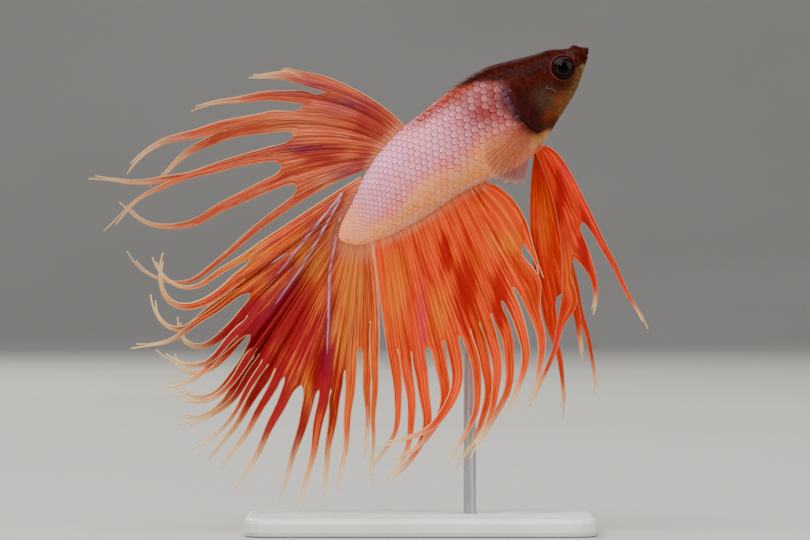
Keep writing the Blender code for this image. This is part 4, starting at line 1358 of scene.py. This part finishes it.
def dress_stand():
    for node, finish in (("stand_base", make_base_material()), ("stand_rod", make_rod_material())):
        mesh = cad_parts[node].data
        mesh.materials.clear()
        mesh.materials.append(finish)


FLAT_RADIUS = 2400
COVE_RADIUS = 5600
WALL_HEIGHT = 3500
FLOOR_SIDES = 96


def make_floor():
    """A round cove: a flat floor that curves up into a wall far behind everything."""
    radii = np.concatenate((np.linspace(0, FLAT_RADIUS, 6), np.linspace(2600, COVE_RADIUS, 18)))
    climb = np.clip((radii - FLAT_RADIUS) / (COVE_RADIUS - FLAT_RADIUS), 0, 1)
    turns = np.arange(FLOOR_SIDES) * (2 * math.pi / FLOOR_SIDES)
    points = [(0.0, 0.0, 0.0)]
    for radius, height in zip(radii[1:], WALL_HEIGHT * climb[1:] ** 2.3):
        points += [(radius * math.cos(turn), radius * math.sin(turn), height) for turn in turns]
    material, w, shader = new_material("studio_floor")
    tone = w.remap(w.noise(w.object_place(), 3.0, 2.0), 0.3, 0.7)
    color = w.mix(tone, paint(168, 165, 160), paint(174, 171, 166))
    w.fill(shader, {"Base Color": color, "Roughness": 0.9})
    faces = round_faces(FLOOR_SIDES, len(radii) - 1)
    make_piece("studio_floor", points, faces, material, {})


# place and size in millimetres, power in watts, and colour
LIGHTS = {
    "key_light": ((-532, -988, 1595), 1820, 58.0, (1.0, 0.98, 0.95)),
    "fill_light": ((1352, -1149, 811), 1300, 15.2, (0.95, 0.97, 1.0)),
    "back_light": ((-751, 1501, 910), 1040, 25.0, (1.0, 0.97, 0.92)),
    "top_light": ((468, -195, 1885), 1170, 13.5, (1.0, 1.0, 1.0)),
    "catch_light": ((-169, -1950, 1040), 145, 6.0, (1.0, 1.0, 1.0)),
}


def make_light(name, place, size, power, color):
    light = bpy.data.lights.new(name, "AREA")
    light.shape = "DISK"
    light.size = size * MM
    light.energy = power
    light.color = color
    lamp = bpy.data.objects.new(name, light)
    bpy.context.scene.collection.objects.link(lamp)
    lamp.location = Vector(place) * MM
    aim = Vector((VIEW_MIDDLE[0], 0.0, VIEW_MIDDLE[1])) * MM - lamp.location
    lamp.rotation_euler = aim.to_track_quat("-Z", "Y").to_euler()


def make_world():
    world = bpy.data.worlds.new("studio_air")
    world.use_nodes = True
    sky = world.node_tree.nodes["Background"]
    sky.inputs["Color"].default_value = (0.92, 0.94, 1.0, 1.0)
    sky.inputs["Strength"].default_value = 0.38
    bpy.context.scene.world = world


def make_camera():
    camera = bpy.data.cameras.new("camera")
    camera.sensor_width = SENSOR
    camera.lens = SENSOR * VIEW_DISTANCE / VIEW_WIDTH
    camera.clip_start = 0.05
    camera.clip_end = 20.0
    eye = bpy.data.objects.new("camera", camera)
    eye.location = Vector((VIEW_MIDDLE[0], -VIEW_DISTANCE, VIEW_MIDDLE[1])) * MM
    eye.rotation_euler = (math.radians(90), 0.0, 0.0)
    bpy.context.scene.collection.objects.link(eye)
    bpy.context.scene.camera = eye


def main():
    flesh, rays = make_flesh_group(), make_ray_group()
    make_skin(make_skin_material(flesh))
    scale_material = make_scale_material(flesh)
    for side, _ in SIDES:
        make_scales(side, scale_material)
    make_eyes(make_eye_material())
    make_fins({name: make_fin_material("betta_" + name, colors, rays)
               for name, colors in FIN_PAINTS.items()})
    dress_stand()
    make_floor()
    for name, settings in LIGHTS.items():
        make_light(name, *settings)
    make_world()
    make_camera()


main()
